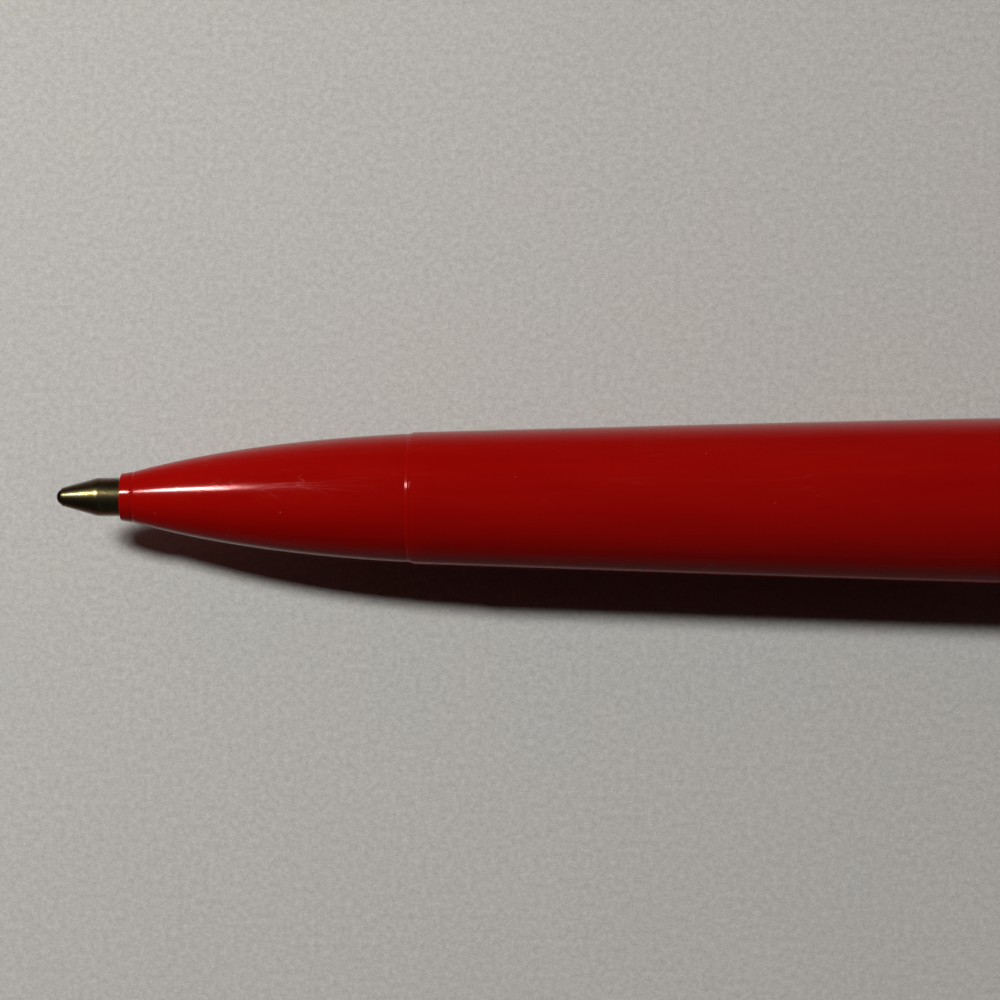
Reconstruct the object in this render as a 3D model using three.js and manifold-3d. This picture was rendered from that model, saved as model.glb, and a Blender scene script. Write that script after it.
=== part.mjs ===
// A twist-action floaty pen, lying on a table with its writing point out. All sizes are in millimetres.
//
// The lower half is a moulded barrel with a screwed nose cone, a ball refill and its return spring. The upper
// half is a clear tube of oil in which a flat cut-out boat drifts between two printed films. Turning one half
// against the other drives a cross pin along two helical slots, which draws the refill in or out.
//
// Each piece is drawn along +X. Its station is the distance from the front of the ball towards the cap.

import * as THREE from 'three';
import { mergeVertices } from 'three/addons/utils/BufferGeometryUtils.js';
import Module from 'manifold-3d';

const wasm = await Module();
wasm.setup();

// Clearances
const runningGap = 0.05; // the refill's point in the nose cone
const fitGap = 0.1; // pieces pushed or screwed into each other, on the radius
const turnGap = 0.15; // pieces that turn or slide in each other
const faceGap = 0.1; // faces that meet
const looseGap = 0.3; // seats that are left easy, such as the films and the floater

// Refill
const ballRadius = 0.5;
const ballShowing = 0.28;
const socketGap = 0.03;
const lipWall = 0.04;
const pointRadius = 1.18;
const coneLength = 2.5;
const pointLength = 11.5;
const inkBoreRadius = 0.5;
const inkFeedRadius = 0.16;
const refillTubeRadius = 1.5;
const refillTubeWall = 0.45;
const refillLength = 57;
const pointSpigotLength = 4;
const inkLength = 34;
const earStation = 24;
const earLength = 2;
const earThickness = 0.7;

// Return spring
const springWireRadius = 0.18;
const springGap = 0.2;
const springTurns = 11;
const springEndTurns = 1.25;

// Nose cone
const tipShowing = 3.75;
const noseLength = 17.8;
const noseTipWall = 0.08;
const noseEdgeLength = 0.17;
const noseEdgeRise = 0.145;
const noseCollarLength = 0.48;
const noseCollarRise = 0.045;
const noseFullness = 0.4; // where the side's curve has its control point, as a share of the length
const noseFullnessRise = 0.785; // and as a share of the rise in radius
const noseGuideLength = 2.5;
const springSeatDepth = 6;
const springPocketLength = 3;
const noseStep = 0.07; // how far the nose cone lies below the barrel at the seam
const spigotLength = 7;
const spigotWall = 0.75;

// Lower barrel
const barrelFrontWall = 0.64;
const barrelRearWall = 1.15;
const barrelFullness = 0.8;
const barrelSeatLip = 0.3; // how far the shoulder that stops the guide sleeve stands in
const keyWidth = 1.2;
const keyHeight = 0.35;

// Twist mechanism
const stroke = 5;
const twistAngle = Math.PI;
const cupDepth = 3;
const cupWall = 0.6;
const pusherFloor = 3; // from the refill's tail to the cross pin
const pusherTail = 3; // from the cross pin to the pusher's end
const pinRadius = 0.6;
const camWall = 0.65;
const guideWall = 0.8;
const guideFrontLand = 1.2;
const guideRearLand = 2;
const retainerThickness = 0.6;
const retainerReach = 0.45;
const retainerMouth = 0.9; // half of the opening of the retaining clip, in radians
const retainerGrooveDepth = 0.25;
const camNose = 0.7; // the cam's end in front of the retaining clip's groove
const dragRingStation = 0.9; // from the flange's front to the middle of its groove
const dragRingRadius = 0.42;
const dragLand = 0.9; // from the middle of the groove to the barrel's end

// Centre ring
const ringLength = 2.2;
const ringProud = 0.15;
const ringChamfer = 0.25;

// Float chamber
const boreRadius = 3.9;
const tubeWall = 1.2;
const tubeChamfer = 0.2;
const stubSeat = 5.6;
const stubFloor = 2;
const plugLength = 4;
const plugSlotDepth = 1.1;
const sealRadius = 0.42;
const grooveSide = 0.13; // room on each side of a seal in its groove
const chamberLength = 43.7;
const filmThickness = 0.25;
const filmInset = 0.4; // from the film's edge to the bore
const filmEndSeat = 0.8;
const floaterThickness = 0.35;

// Floater: a small sailing boat cut from one flat sheet
const hullLength = 12;
const hullDepth = 1.7;
const keelShare = 0.62;
const sailHeight = 3.6;
const mastWidth = 0.5;
const sailGap = 0.35;
const waterline = -1.5; // height of the deck above the pen's axis

// Cap and pocket clip
const capSeat = 3.6;
const capLength = 12;
const capEndRadius = 3.1;
const capShoulder = 0.35;
const capCoreRadius = 2.2;
const capCoreShare = 0.7;
const clipThickness = 0.7;
const clipWidth = 4;
const clipEndWidth = 3.2;
const clipLength = 41;
const clipStation = 3.4; // from the cap's front to the middle of the clip's tongue
const clipTongue = 2.1; // how deep the tongue sits in the cap
const clipRise = 2.1; // height of the arm over the cap at its root
const clipBend = 1.2;
const clipGrip = 3; // from the free end to where the arm comes nearest to the tube
const clipLead = 0.9; // how far the free end is turned up

const manySides = 40;
const someSides = 32;
const fewSides = 24;

// Radii that follow from the refill outwards
const noseBoreRadius = pointRadius + runningGap;
const noseTipRadius = noseBoreRadius + noseTipWall;
const springInnerRadius = refillTubeRadius + springGap;
const springMeanRadius = springInnerRadius + springWireRadius;
const springOuterRadius = springMeanRadius + springWireRadius;
const springPocketRadius = springOuterRadius + springGap;
const earReach = springOuterRadius + turnGap;
const spigotBoreRadius = earReach + looseGap;
const spigotRadius = spigotBoreRadius + spigotWall;
const barrelFrontBore = spigotRadius + fitGap;
const barrelFrontRadius = barrelFrontBore + barrelFrontWall;
const noseRearRadius = barrelFrontRadius - noseStep;
const pusherCupRadius = refillTubeRadius + fitGap;
const pusherRadius = pusherCupRadius + cupWall;
const camBoreRadius = pusherRadius + turnGap;
const camRadius = camBoreRadius + camWall;
const guideBoreRadius = camRadius + turnGap;
const guideRadius = guideBoreRadius + guideWall;
const barrelSeatRadius = guideRadius + fitGap;
const barrelLipRadius = barrelSeatRadius - barrelSeatLip - fitGap;
const barrelRearRadius = barrelSeatRadius + barrelRearWall;
const flangeRadius = Math.min(barrelSeatRadius - turnGap, boreRadius - fitGap);
const tubeRadius = boreRadius + tubeWall;
const plugRadius = boreRadius - fitGap;
const proudRadius = Math.max(barrelRearRadius, tubeRadius) + ringProud;

// Stations that follow from the ball to the cap
const noseFront = tipShowing;
const seam = noseFront + noseLength;
const springSeat = noseFront + springSeatDepth;
const spigotEnd = seam + spigotLength;
const refillTail = refillLength;
const cupFloor = refillTail + faceGap;
const pinStation = refillTail + pusherFloor;
const slotFront = pinStation - pinRadius - looseGap;
const slotRear = pinStation + stroke + pinRadius + looseGap;
const guideFront = slotFront - guideFrontLand;
const guideRear = slotRear + guideRearLand;
const retainerRear = guideFront - turnGap;
const retainerFront = retainerRear - retainerThickness;
const camFront = retainerFront - fitGap - camNose;
const flangeFront = guideRear + looseGap;
const dragStation = flangeFront + dragRingStation;
const barrelEnd = dragStation + dragLand;
const ringFront = barrelEnd + faceGap;
const ringRear = ringFront + ringLength;
const tubeFront = ringRear + faceGap;
const stubEnd = tubeFront + stubSeat;
const lowerPlugFront = stubEnd + looseGap;
const chamberFront = lowerPlugFront + plugLength;
const chamberRear = chamberFront + chamberLength;
const upperPlugRear = chamberRear + plugLength;
const capSpigotFront = upperPlugRear + looseGap;
const tubeRear = capSpigotFront + capSeat;
const capFront = tubeRear + faceGap;
const capEnd = capFront + capLength;
const tongueStation = capFront + clipStation;

// Materials
function plastic(colour, roughness = 0.3) {
  return new THREE.MeshStandardMaterial({ color: colour, roughness, metalness: 0 });
}

function metal(colour, roughness) {
  return new THREE.MeshStandardMaterial({ color: colour, roughness, metalness: 1 });
}

const redPlastic = plastic(0xb80f0c, 0.22);
const whitePlastic = plastic(0xe9e7e0, 0.4);
const greyAcetal = plastic(0x8c9094, 0.45);
const naturalTube = plastic(0xd9d6c8, 0.35);
const blueInk = plastic(0x1b2360, 0.3);
const blackRubber = plastic(0x151515, 0.7);
const seaFilm = plastic(0x4f93c4, 0.35);
const foamFilm = plastic(0x9fd0e8, 0.35);
const boatFilm = plastic(0xf3ead6, 0.35);
const clearAcrylic = new THREE.MeshStandardMaterial({
  color: 0xf4f8f8, roughness: 0.05, metalness: 0, transparent: true, opacity: 0.3,
});
const clearOil = new THREE.MeshStandardMaterial({
  color: 0xf2f6ef, roughness: 0.02, metalness: 0, transparent: true, opacity: 0.2,
});
const brass = metal(0x9a8040, 0.25);
const hardBall = metal(0x5a5a5c, 0.15);
const springSteel = metal(0xb9bbbd, 0.3);
const chrome = metal(0xd4d6d8, 0.12);

// A solid for joining and cutting, from a three.js geometry.
function solidOf(geometry) {
  const bare = geometry.index ? geometry.toNonIndexed() : geometry.clone();
  bare.deleteAttribute('normal');
  bare.deleteAttribute('uv');
  const merged = mergeVertices(bare, 1e-4);
  return new wasm.Manifold(new wasm.Mesh({
    numProp: 3,
    vertProperties: merged.attributes.position.array,
    triVerts: new Uint32Array(merged.index.array),
  }));
}

function geometryOf(solid) {
  const mesh = solid.getMesh();
  const geometry = new THREE.BufferGeometry();
  geometry.setAttribute('position', new THREE.BufferAttribute(mesh.vertProperties, mesh.numProp));
  geometry.setIndex(new THREE.BufferAttribute(mesh.triVerts, 1));
  geometry.computeVertexNormals();
  return geometry;
}

function cut(body, ...cutters) {
  return geometryOf(cutters.reduce((left, cutter) => left.subtract(solidOf(cutter)), solidOf(body)));
}

function join(...bodies) {
  return geometryOf(bodies.slice(1).reduce((all, body) => all.add(solidOf(body)), solidOf(bodies[0])));
}

// A piece turned on the pen's axis. The outline is a list of [station, radius], walked so that the material lies
// on its right; a flat of the many-sided section faces the table.
function turned(outline, sides = manySides) {
  const points = outline.map(([station, radius]) => new THREE.Vector2(radius, station));
  return new THREE.LatheGeometry(points, sides, Math.PI / sides).rotateZ(-Math.PI / 2);
}

// A turned piece with a through bore, whose outline closes on itself.
function turnedRing(outline, sides = manySides) {
  return turned([...outline, outline[0]], sides);
}

// A box from its lowest and highest corners.
function block(low, high) {
  const size = high.map((value, axis) => value - low[axis]);
  const middle = high.map((value, axis) => (value + low[axis]) / 2);
  return new THREE.BoxGeometry(...size).translate(...middle);
}

// A pin across the pen, along Z.
function crossCylinder(radius, halfLength, station, sides) {
  return new THREE.CylinderGeometry(radius, radius, 2 * halfLength, sides)
    .rotateX(Math.PI / 2)
    .translate(station, 0, 0);
}

// An O-ring in a groove on the pen's axis.
function seal(station, outerRadius, sectionRadius) {
  const meanRadius = outerRadius - sectionRadius;
  return new THREE.TorusGeometry(meanRadius, sectionRadius, 6, 28)
    .rotateY(Math.PI / 2)
    .translate(station, 0, 0);
}

function named(name, geometry, material) {
  const mesh = new THREE.Mesh(geometry, material);
  mesh.name = name;
  return mesh;
}

function group(...members) {
  return new THREE.Group().add(...members);
}

// Refill

const socketRadius = ballRadius + socketGap;

function writingBall() {
  return new THREE.SphereGeometry(ballRadius, 16, 12).rotateZ(Math.PI / 2).translate(ballRadius, 0, 0);
}

// The brass point: a lip rolled round the ball, a cone, a straight shank and a spigot inside the ink tube.
function refillPoint() {
  const mouthOffset = ballRadius - ballShowing;
  const mouthAngle = Math.acos(mouthOffset / socketRadius);
  const feedAngle = Math.PI - Math.asin(inkFeedRadius / socketRadius);
  const socketSteps = 7;
  const socket = Array.from({ length: socketSteps + 1 }, (_, step) => {
    const angle = mouthAngle + (feedAngle - mouthAngle) * (step / socketSteps);
    return [ballRadius - socketRadius * Math.cos(angle), socketRadius * Math.sin(angle)];
  });
  const mouthRadius = socketRadius * Math.sin(mouthAngle);
  const lipRadius = mouthRadius + lipWall;
  const spigotRadius = refillTubeRadius - refillTubeWall - fitGap / 2;
  return turnedRing([
    ...socket,
    [coneLength * 0.7, inkFeedRadius],
    [coneLength, inkBoreRadius],
    [pointLength + pointSpigotLength, inkBoreRadius],
    [pointLength + pointSpigotLength, spigotRadius - fitGap],
    [pointLength + pointSpigotLength / 2, spigotRadius],
    [pointLength, spigotRadius],
    [pointLength, pointRadius],
    [coneLength, pointRadius],
    [ballRadius, lipRadius + lipWall],
    [ballShowing, lipRadius],
  ].reverse(), fewSides);
}

// The ink tube, pinched into two ears that the return spring pushes on.
function refillTube() {
  const tubeStart = pointLength + faceGap;
  const bore = refillTubeRadius - refillTubeWall;
  const tube = turnedRing([
    [tubeStart, refillTubeRadius],
    [refillTail, refillTubeRadius],
    [refillTail, bore],
    [tubeStart, bore],
  ], fewSides);
  const earRoot = bore + refillTubeWall / 2;
  const ears = [-1, 1].map((side) => {
    const outline = new THREE.Shape()
      .moveTo(earStation, earRoot)
      .lineTo(earStation + earLength, earRoot)
      .lineTo(earStation + earLength, refillTubeRadius)
      .lineTo(earStation + earLength / 3, earReach)
      .lineTo(earStation, earReach);
    return new THREE.ExtrudeGeometry(outline, { depth: earThickness, bevelEnabled: false })
      .translate(0, 0, -earThickness / 2)
      .rotateX(side * Math.PI / 2);
  });
  return join(tube, ...ears);
}

function inkColumn() {
  const start = pointLength + pointSpigotLength + faceGap;
  const radius = refillTubeRadius - refillTubeWall - fitGap / 2;
  return turned([
    [start, 0], [start, radius], [start + inkLength, radius], [start + inkLength, 0],
  ], fewSides);
}

// A wire wound round the pen's axis. Its end turns lie wire to wire, and the turns between them share the rest.
class SpringWire extends THREE.Curve {
  constructor(front, rear) {
    super();
    const endPitch = 2 * springWireRadius + faceGap / 2;
    this.endRise = springEndTurns * endPitch;
    this.front = front + springWireRadius;
    this.rise = rear - front - 2 * springWireRadius;
    this.endShare = springEndTurns / springTurns;
  }

  getPoint(share, target = new THREE.Vector3()) {
    const angle = share * springTurns * 2 * Math.PI;
    const middle = (share - this.endShare) / (1 - 2 * this.endShare);
    let along = this.endRise + (this.rise - 2 * this.endRise) * middle;
    if (middle < 0) along = this.endRise * (share / this.endShare);
    if (middle > 1) along = this.rise - this.endRise * ((1 - share) / this.endShare);
    return target.set(
      this.front + along, springMeanRadius * Math.cos(angle), springMeanRadius * Math.sin(angle),
    );
  }
}

function returnSpring() {
  const section = new THREE.Shape();
  section.absarc(0, 0, springWireRadius, 0, 2 * Math.PI);
  return new THREE.ExtrudeGeometry(section, {
    curveSegments: 3,
    steps: springTurns * 12,
    extrudePath: new SpringWire(springSeat + faceGap, earStation - faceGap),
    bevelEnabled: false,
  });
}

// Nose cone and lower barrel

// The bullet-shaped nose cone: a small collar at the tip, a spring pocket inside, and a spigot that screws into
// the barrel.
function noseCone() {
  const edge = noseFront + noseEdgeLength;
  const edgeRadius = noseTipRadius + noseEdgeRise;
  const collarEnd = edge + noseCollarLength;
  const collarRadius = edgeRadius + noseCollarRise;
  const side = new THREE.QuadraticBezierCurve(
    new THREE.Vector2(collarEnd, collarRadius),
    new THREE.Vector2(
      collarEnd + (seam - collarEnd) * noseFullness,
      collarRadius + (noseRearRadius - collarRadius) * noseFullnessRise,
    ),
    new THREE.Vector2(seam, noseRearRadius),
  ).getPoints(11).map((point) => [point.x, point.y]);
  const guideEnd = noseFront + noseGuideLength;
  const clearRadius = refillTubeRadius + turnGap;
  return turnedRing([
    [noseFront, noseTipRadius],
    [edge, edgeRadius],
    ...side,
    [seam, spigotRadius],
    [spigotEnd - looseGap, spigotRadius],
    [spigotEnd, spigotRadius - looseGap],
    [spigotEnd, spigotBoreRadius],
    [seam, spigotBoreRadius],
    [springSeat + springPocketLength, springPocketRadius],
    [springSeat, springPocketRadius],
    [springSeat, clearRadius],
    [guideEnd + looseGap, clearRadius],
    [guideEnd, noseBoreRadius],
    [noseFront, noseBoreRadius],
  ]);
}

// The barrel swells from the seam to its end. Its rear bore seats the guide sleeve, keyed on two sides.
function lowerBarrel() {
  const front = seam + faceGap;
  const outside = new THREE.QuadraticBezierCurve(
    new THREE.Vector2(front, barrelFrontRadius),
    new THREE.Vector2(front + (barrelEnd - front) * barrelFullness, barrelRearRadius),
    new THREE.Vector2(barrelEnd, barrelRearRadius),
  ).getPoints(12).map((point) => [point.x, point.y]);
  const seat = guideFront - looseGap;
  const shell = turnedRing([
    ...outside,
    [barrelEnd, barrelSeatRadius],
    [seat, barrelSeatRadius],
    [seat, barrelLipRadius],
    [spigotEnd + looseGap, barrelFrontBore],
    [front, barrelFrontBore],
  ]);
  const halfWidth = keyWidth / 2 + turnGap;
  const depth = guideRadius + keyHeight + fitGap;
  return cut(shell, block([seat, -depth, -halfWidth], [barrelEnd + 1, depth, halfWidth]));
}

// Twist mechanism

// The sleeve keyed into the barrel, with two straight slots that keep the cross pin from turning.
function guideSleeve() {
  const sleeve = turnedRing([
    [guideFront, guideRadius],
    [guideRear, guideRadius],
    [guideRear, guideBoreRadius],
    [guideFront, guideBoreRadius],
  ], someSides);
  const keyReach = guideRadius + keyHeight;
  const keys = [-1, 1].map((side) => {
    const inner = side * (guideRadius - guideWall / 2);
    const outer = side * keyReach;
    return block(
      [guideFront, Math.min(inner, outer), -keyWidth / 2],
      [guideRear, Math.max(inner, outer), keyWidth / 2],
    );
  });
  const halfSlot = pinRadius + turnGap;
  const slot = block(
    [slotFront, -halfSlot, -guideRadius - 1],
    [slotRear, halfSlot, guideRadius + 1],
  );
  return cut(join(sleeve, ...keys), slot);
}

// A cutter for one helical slot: a strip with round ends, laid out flat and wrapped round the cam.
function helicalSlot(startAngle) {
  const wrapRadius = (camBoreRadius + camRadius) / 2;
  const arc = wrapRadius * twistAngle;
  const length = Math.hypot(arc, stroke);
  const along = new THREE.Vector2(arc, stroke).divideScalar(length);
  const across = new THREE.Vector2(-along.y, along.x);
  const halfWidth = pinRadius + turnGap;
  const insideRadius = camBoreRadius - 1;
  const outsideRadius = camRadius + 1;
  const endSteps = 4;
  const middleSteps = 22;
  const places = [];
  for (let step = 0; step < endSteps; step += 1) {
    const turn = (step + 0.4) / endSteps * Math.PI / 2;
    places.push([-halfWidth * Math.cos(turn), halfWidth * Math.sin(turn)]);
  }
  for (let step = 0; step <= middleSteps; step += 1) {
    places.push([length * step / middleSteps, halfWidth]);
  }
  for (let step = endSteps - 1; step >= 0; step -= 1) {
    const turn = (step + 0.4) / endSteps * Math.PI / 2;
    places.push([length + halfWidth * Math.cos(turn), halfWidth * Math.sin(turn)]);
  }
  const corners = places.flatMap(([distance, half]) => [
    [-half, insideRadius], [half, insideRadius], [half, outsideRadius], [-half, outsideRadius],
  ].map(([offset, radius]) => {
    const flat = along.clone().multiplyScalar(distance).addScaledVector(across, offset);
    const angle = startAngle + flat.x / wrapRadius;
    return [pinStation + flat.y, radius * Math.cos(angle), radius * Math.sin(angle)];
  }));
  const last = corners.length - 4;
  const faces = [0, 2, 1, 0, 3, 2, last, last + 1, last + 2, last, last + 2, last + 3];
  for (let ring = 0; ring < last; ring += 4) {
    for (let corner = 0; corner < 4; corner += 1) {
      const a = ring + corner;
      const b = ring + (corner + 1) % 4;
      faces.push(a, b, b + 4, a, b + 4, a + 4);
    }
  }
  const geometry = new THREE.BufferGeometry();
  geometry.setAttribute('position', new THREE.Float32BufferAttribute(corners.flat(), 3));
  geometry.setIndex(faces);
  return geometry;
}

// The cam turns with the upper half. Its flange closes the barrel and its stub carries the clear tube.
function twistCam() {
  const grooveRadius = camRadius - retainerGrooveDepth;
  const dragGroove = dragRingRadius + grooveSide;
  const dragGrooveRadius = flangeRadius + turnGap / 2 - 2 * dragRingRadius - fitGap;
  const body = turned([
    [stubEnd - stubFloor, 0],
    [stubEnd - stubFloor, camBoreRadius],
    [camFront, camBoreRadius],
    [camFront, camRadius - looseGap / 2],
    [retainerFront - fitGap, camRadius],
    [retainerFront - fitGap, grooveRadius],
    [retainerRear + fitGap, grooveRadius],
    [retainerRear + fitGap, camRadius],
    [flangeFront, camRadius],
    [flangeFront, flangeRadius],
    [dragStation - dragGroove, flangeRadius],
    [dragStation - dragGroove, dragGrooveRadius],
    [dragStation + dragGroove, dragGrooveRadius],
    [dragStation + dragGroove, flangeRadius],
    [stubEnd - looseGap, flangeRadius],
    [stubEnd, flangeRadius - looseGap],
    [stubEnd, 0],
  ], someSides);
  return cut(body, helicalSlot(Math.PI / 2), helicalSlot(-Math.PI / 2));
}

// The C-shaped clip that holds the cam in the guide sleeve.
function retainingClip() {
  const innerRadius = camRadius - retainerGrooveDepth + fitGap / 2;
  const outerRadius = camRadius + retainerReach;
  const outline = new THREE.Shape();
  outline.absarc(0, 0, outerRadius, retainerMouth, 2 * Math.PI - retainerMouth, false);
  outline.absarc(0, 0, innerRadius, 2 * Math.PI - retainerMouth, retainerMouth, true);
  return new THREE.ExtrudeGeometry(outline, {
    depth: retainerThickness, curveSegments: 14, bevelEnabled: false,
  }).rotateY(Math.PI / 2).translate(retainerFront, 0, 0);
}

// The pusher holds the refill's tail in a cup and is driven by the cross pin.
function pusher() {
  const body = turned([
    [cupFloor, 0],
    [cupFloor, pusherCupRadius],
    [refillTail - cupDepth, pusherCupRadius],
    [refillTail - cupDepth, pusherRadius],
    [pinStation + pusherTail - looseGap, pusherRadius],
    [pinStation + pusherTail, pusherRadius - looseGap],
    [pinStation + pusherTail, 0],
  ], fewSides);
  return cut(body, crossCylinder(pinRadius + fitGap / 2, pusherRadius + 1, pinStation, 16));
}

function crossPin() {
  return crossCylinder(pinRadius, guideRadius - turnGap, pinStation, 16);
}

// The rubber ring in the cam's flange that gives the twist its drag.
function dragRing() {
  return seal(dragStation, flangeRadius + turnGap / 2, dragRingRadius);
}

// The plated ring between the two halves.
function centreRing() {
  return turnedRing([
    [ringFront, proudRadius - ringChamfer],
    [ringFront + ringChamfer, proudRadius],
    [ringRear - ringChamfer, proudRadius],
    [ringRear, proudRadius - ringChamfer],
    [ringRear, flangeRadius + fitGap],
    [ringFront, flangeRadius + fitGap],
  ]);
}

// Float chamber

function clearTube() {
  return turnedRing([
    [tubeFront, tubeRadius - tubeChamfer],
    [tubeFront + tubeChamfer, tubeRadius],
    [tubeRear - tubeChamfer, tubeRadius],
    [tubeRear, tubeRadius - tubeChamfer],
    [tubeRear, boreRadius],
    [tubeFront, boreRadius],
  ]);
}

// A plug with a seal groove. The slot across its inner face holds the ends of both films.
function chamberPlug(outerFace, innerFace) {
  const towardsOil = Math.sign(innerFace - outerFace);
  const middle = (outerFace + innerFace) / 2 - towardsOil * plugSlotDepth / 2;
  const half = sealRadius + grooveSide;
  const grooveRadius = boreRadius - 2 * sealRadius - fitGap;
  const low = Math.min(outerFace, innerFace);
  const high = Math.max(outerFace, innerFace);
  const body = turned([
    [low, 0],
    [low, plugRadius],
    [middle - half, plugRadius],
    [middle - half, grooveRadius],
    [middle + half, grooveRadius],
    [middle + half, plugRadius],
    [high, plugRadius],
    [high, 0],
  ], someSides);
  const slotHeight = filmOffset + filmThickness / 2 + looseGap / 2;
  const slotFloor = innerFace - towardsOil * plugSlotDepth;
  const slotMouth = innerFace + towardsOil;
  const slot = block(
    [Math.min(slotFloor, slotMouth), -boreRadius, -slotHeight],
    [Math.max(slotFloor, slotMouth), boreRadius, slotHeight],
  );
  return { plug: cut(body, slot), sealStation: middle };
}

const filmOffset = floaterThickness / 2 + looseGap + filmThickness / 2;
const filmHalfWidth = Math.sqrt(boreRadius ** 2 - filmOffset ** 2) - filmInset;

// A flat film across the bore, above or below the axis.
function film(side) {
  const middle = side * filmOffset;
  return block(
    [chamberFront - filmEndSeat, -filmHalfWidth, middle - filmThickness / 2],
    [chamberRear + filmEndSeat, filmHalfWidth, middle + filmThickness / 2],
  );
}

// The oil on one side of the films fills the bore up to them.
function oil(side) {
  const radius = boreRadius - fitGap;
  const level = filmOffset + filmThickness / 2 + looseGap;
  const edge = Math.asin(level / radius);
  const section = new THREE.Shape();
  section.absarc(0, 0, radius, edge, Math.PI - edge, false);
  return new THREE.ExtrudeGeometry(section, {
    depth: chamberLength - 2 * faceGap, curveSegments: 16, bevelEnabled: false,
  }).rotateX(Math.PI / 2).rotateZ(Math.PI / 2).rotateX(side > 0 ? 0 : Math.PI)
    .translate(chamberFront + faceGap, 0, 0);
}

// The boat: hull, mast and two sails in one flat outline, upright along +Y.
function floater() {
  const bow = -hullLength / 2;
  const stern = hullLength / 2;
  const keel = waterline - hullDepth;
  const foot = waterline + sailGap;
  const peak = foot + sailHeight;
  const outline = new THREE.Shape()
    .moveTo(bow, waterline)
    .quadraticCurveTo(bow * keelShare, keel, 0, keel)
    .lineTo(stern * keelShare, keel)
    .quadraticCurveTo(stern * 0.9, keel, stern, waterline)
    .lineTo(mastWidth / 2, waterline)
    .lineTo(mastWidth / 2, foot)
    .lineTo(stern * 0.75, foot)
    .quadraticCurveTo(stern * 0.45, foot + sailHeight * 0.55, mastWidth / 2, peak)
    .lineTo(-mastWidth / 2, peak + sailGap)
    .quadraticCurveTo(bow * 0.3, foot + sailHeight * 0.5, bow * 0.7, foot)
    .lineTo(-mastWidth / 2, foot)
    .lineTo(-mastWidth / 2, waterline);
  return new THREE.ExtrudeGeometry(outline, {
    depth: floaterThickness, curveSegments: 6, bevelEnabled: false,
  }).translate((chamberFront + chamberRear) / 2, 0, -floaterThickness / 2);
}

// Cap and pocket clip

// The cap plugs into the clear tube. A slot in its side takes the clip's tongue.
function topCap() {
  const dome = new THREE.CubicBezierCurve(
    new THREE.Vector2(capEnd - capLength * 0.45, proudRadius),
    new THREE.Vector2(capEnd - capLength * 0.2, proudRadius - 0.1),
    new THREE.Vector2(capEnd, proudRadius * 0.85),
    new THREE.Vector2(capEnd, capEndRadius),
  ).getPoints(8).map((point) => [point.x, point.y]);
  const coreEnd = capFront + capLength * capCoreShare;
  const body = turned([
    [coreEnd, 0],
    [coreEnd, capCoreRadius],
    [capSpigotFront, capCoreRadius],
    [capSpigotFront, plugRadius - looseGap],
    [capSpigotFront + looseGap, plugRadius],
    [capFront, plugRadius],
    [capFront, proudRadius - capShoulder],
    [capFront + capShoulder, proudRadius],
    ...dome,
    [capEnd, 0],
  ]);
  const halfThickness = clipThickness / 2 + looseGap;
  const halfWidth = clipWidth / 2 + looseGap;
  const slot = block(
    [tongueStation - halfThickness, proudRadius - clipTongue - looseGap, -halfWidth],
    [tongueStation + halfThickness, proudRadius + 1, halfWidth],
  ).rotateX(clipAngle);
  return cut(body, slot);
}

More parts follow.
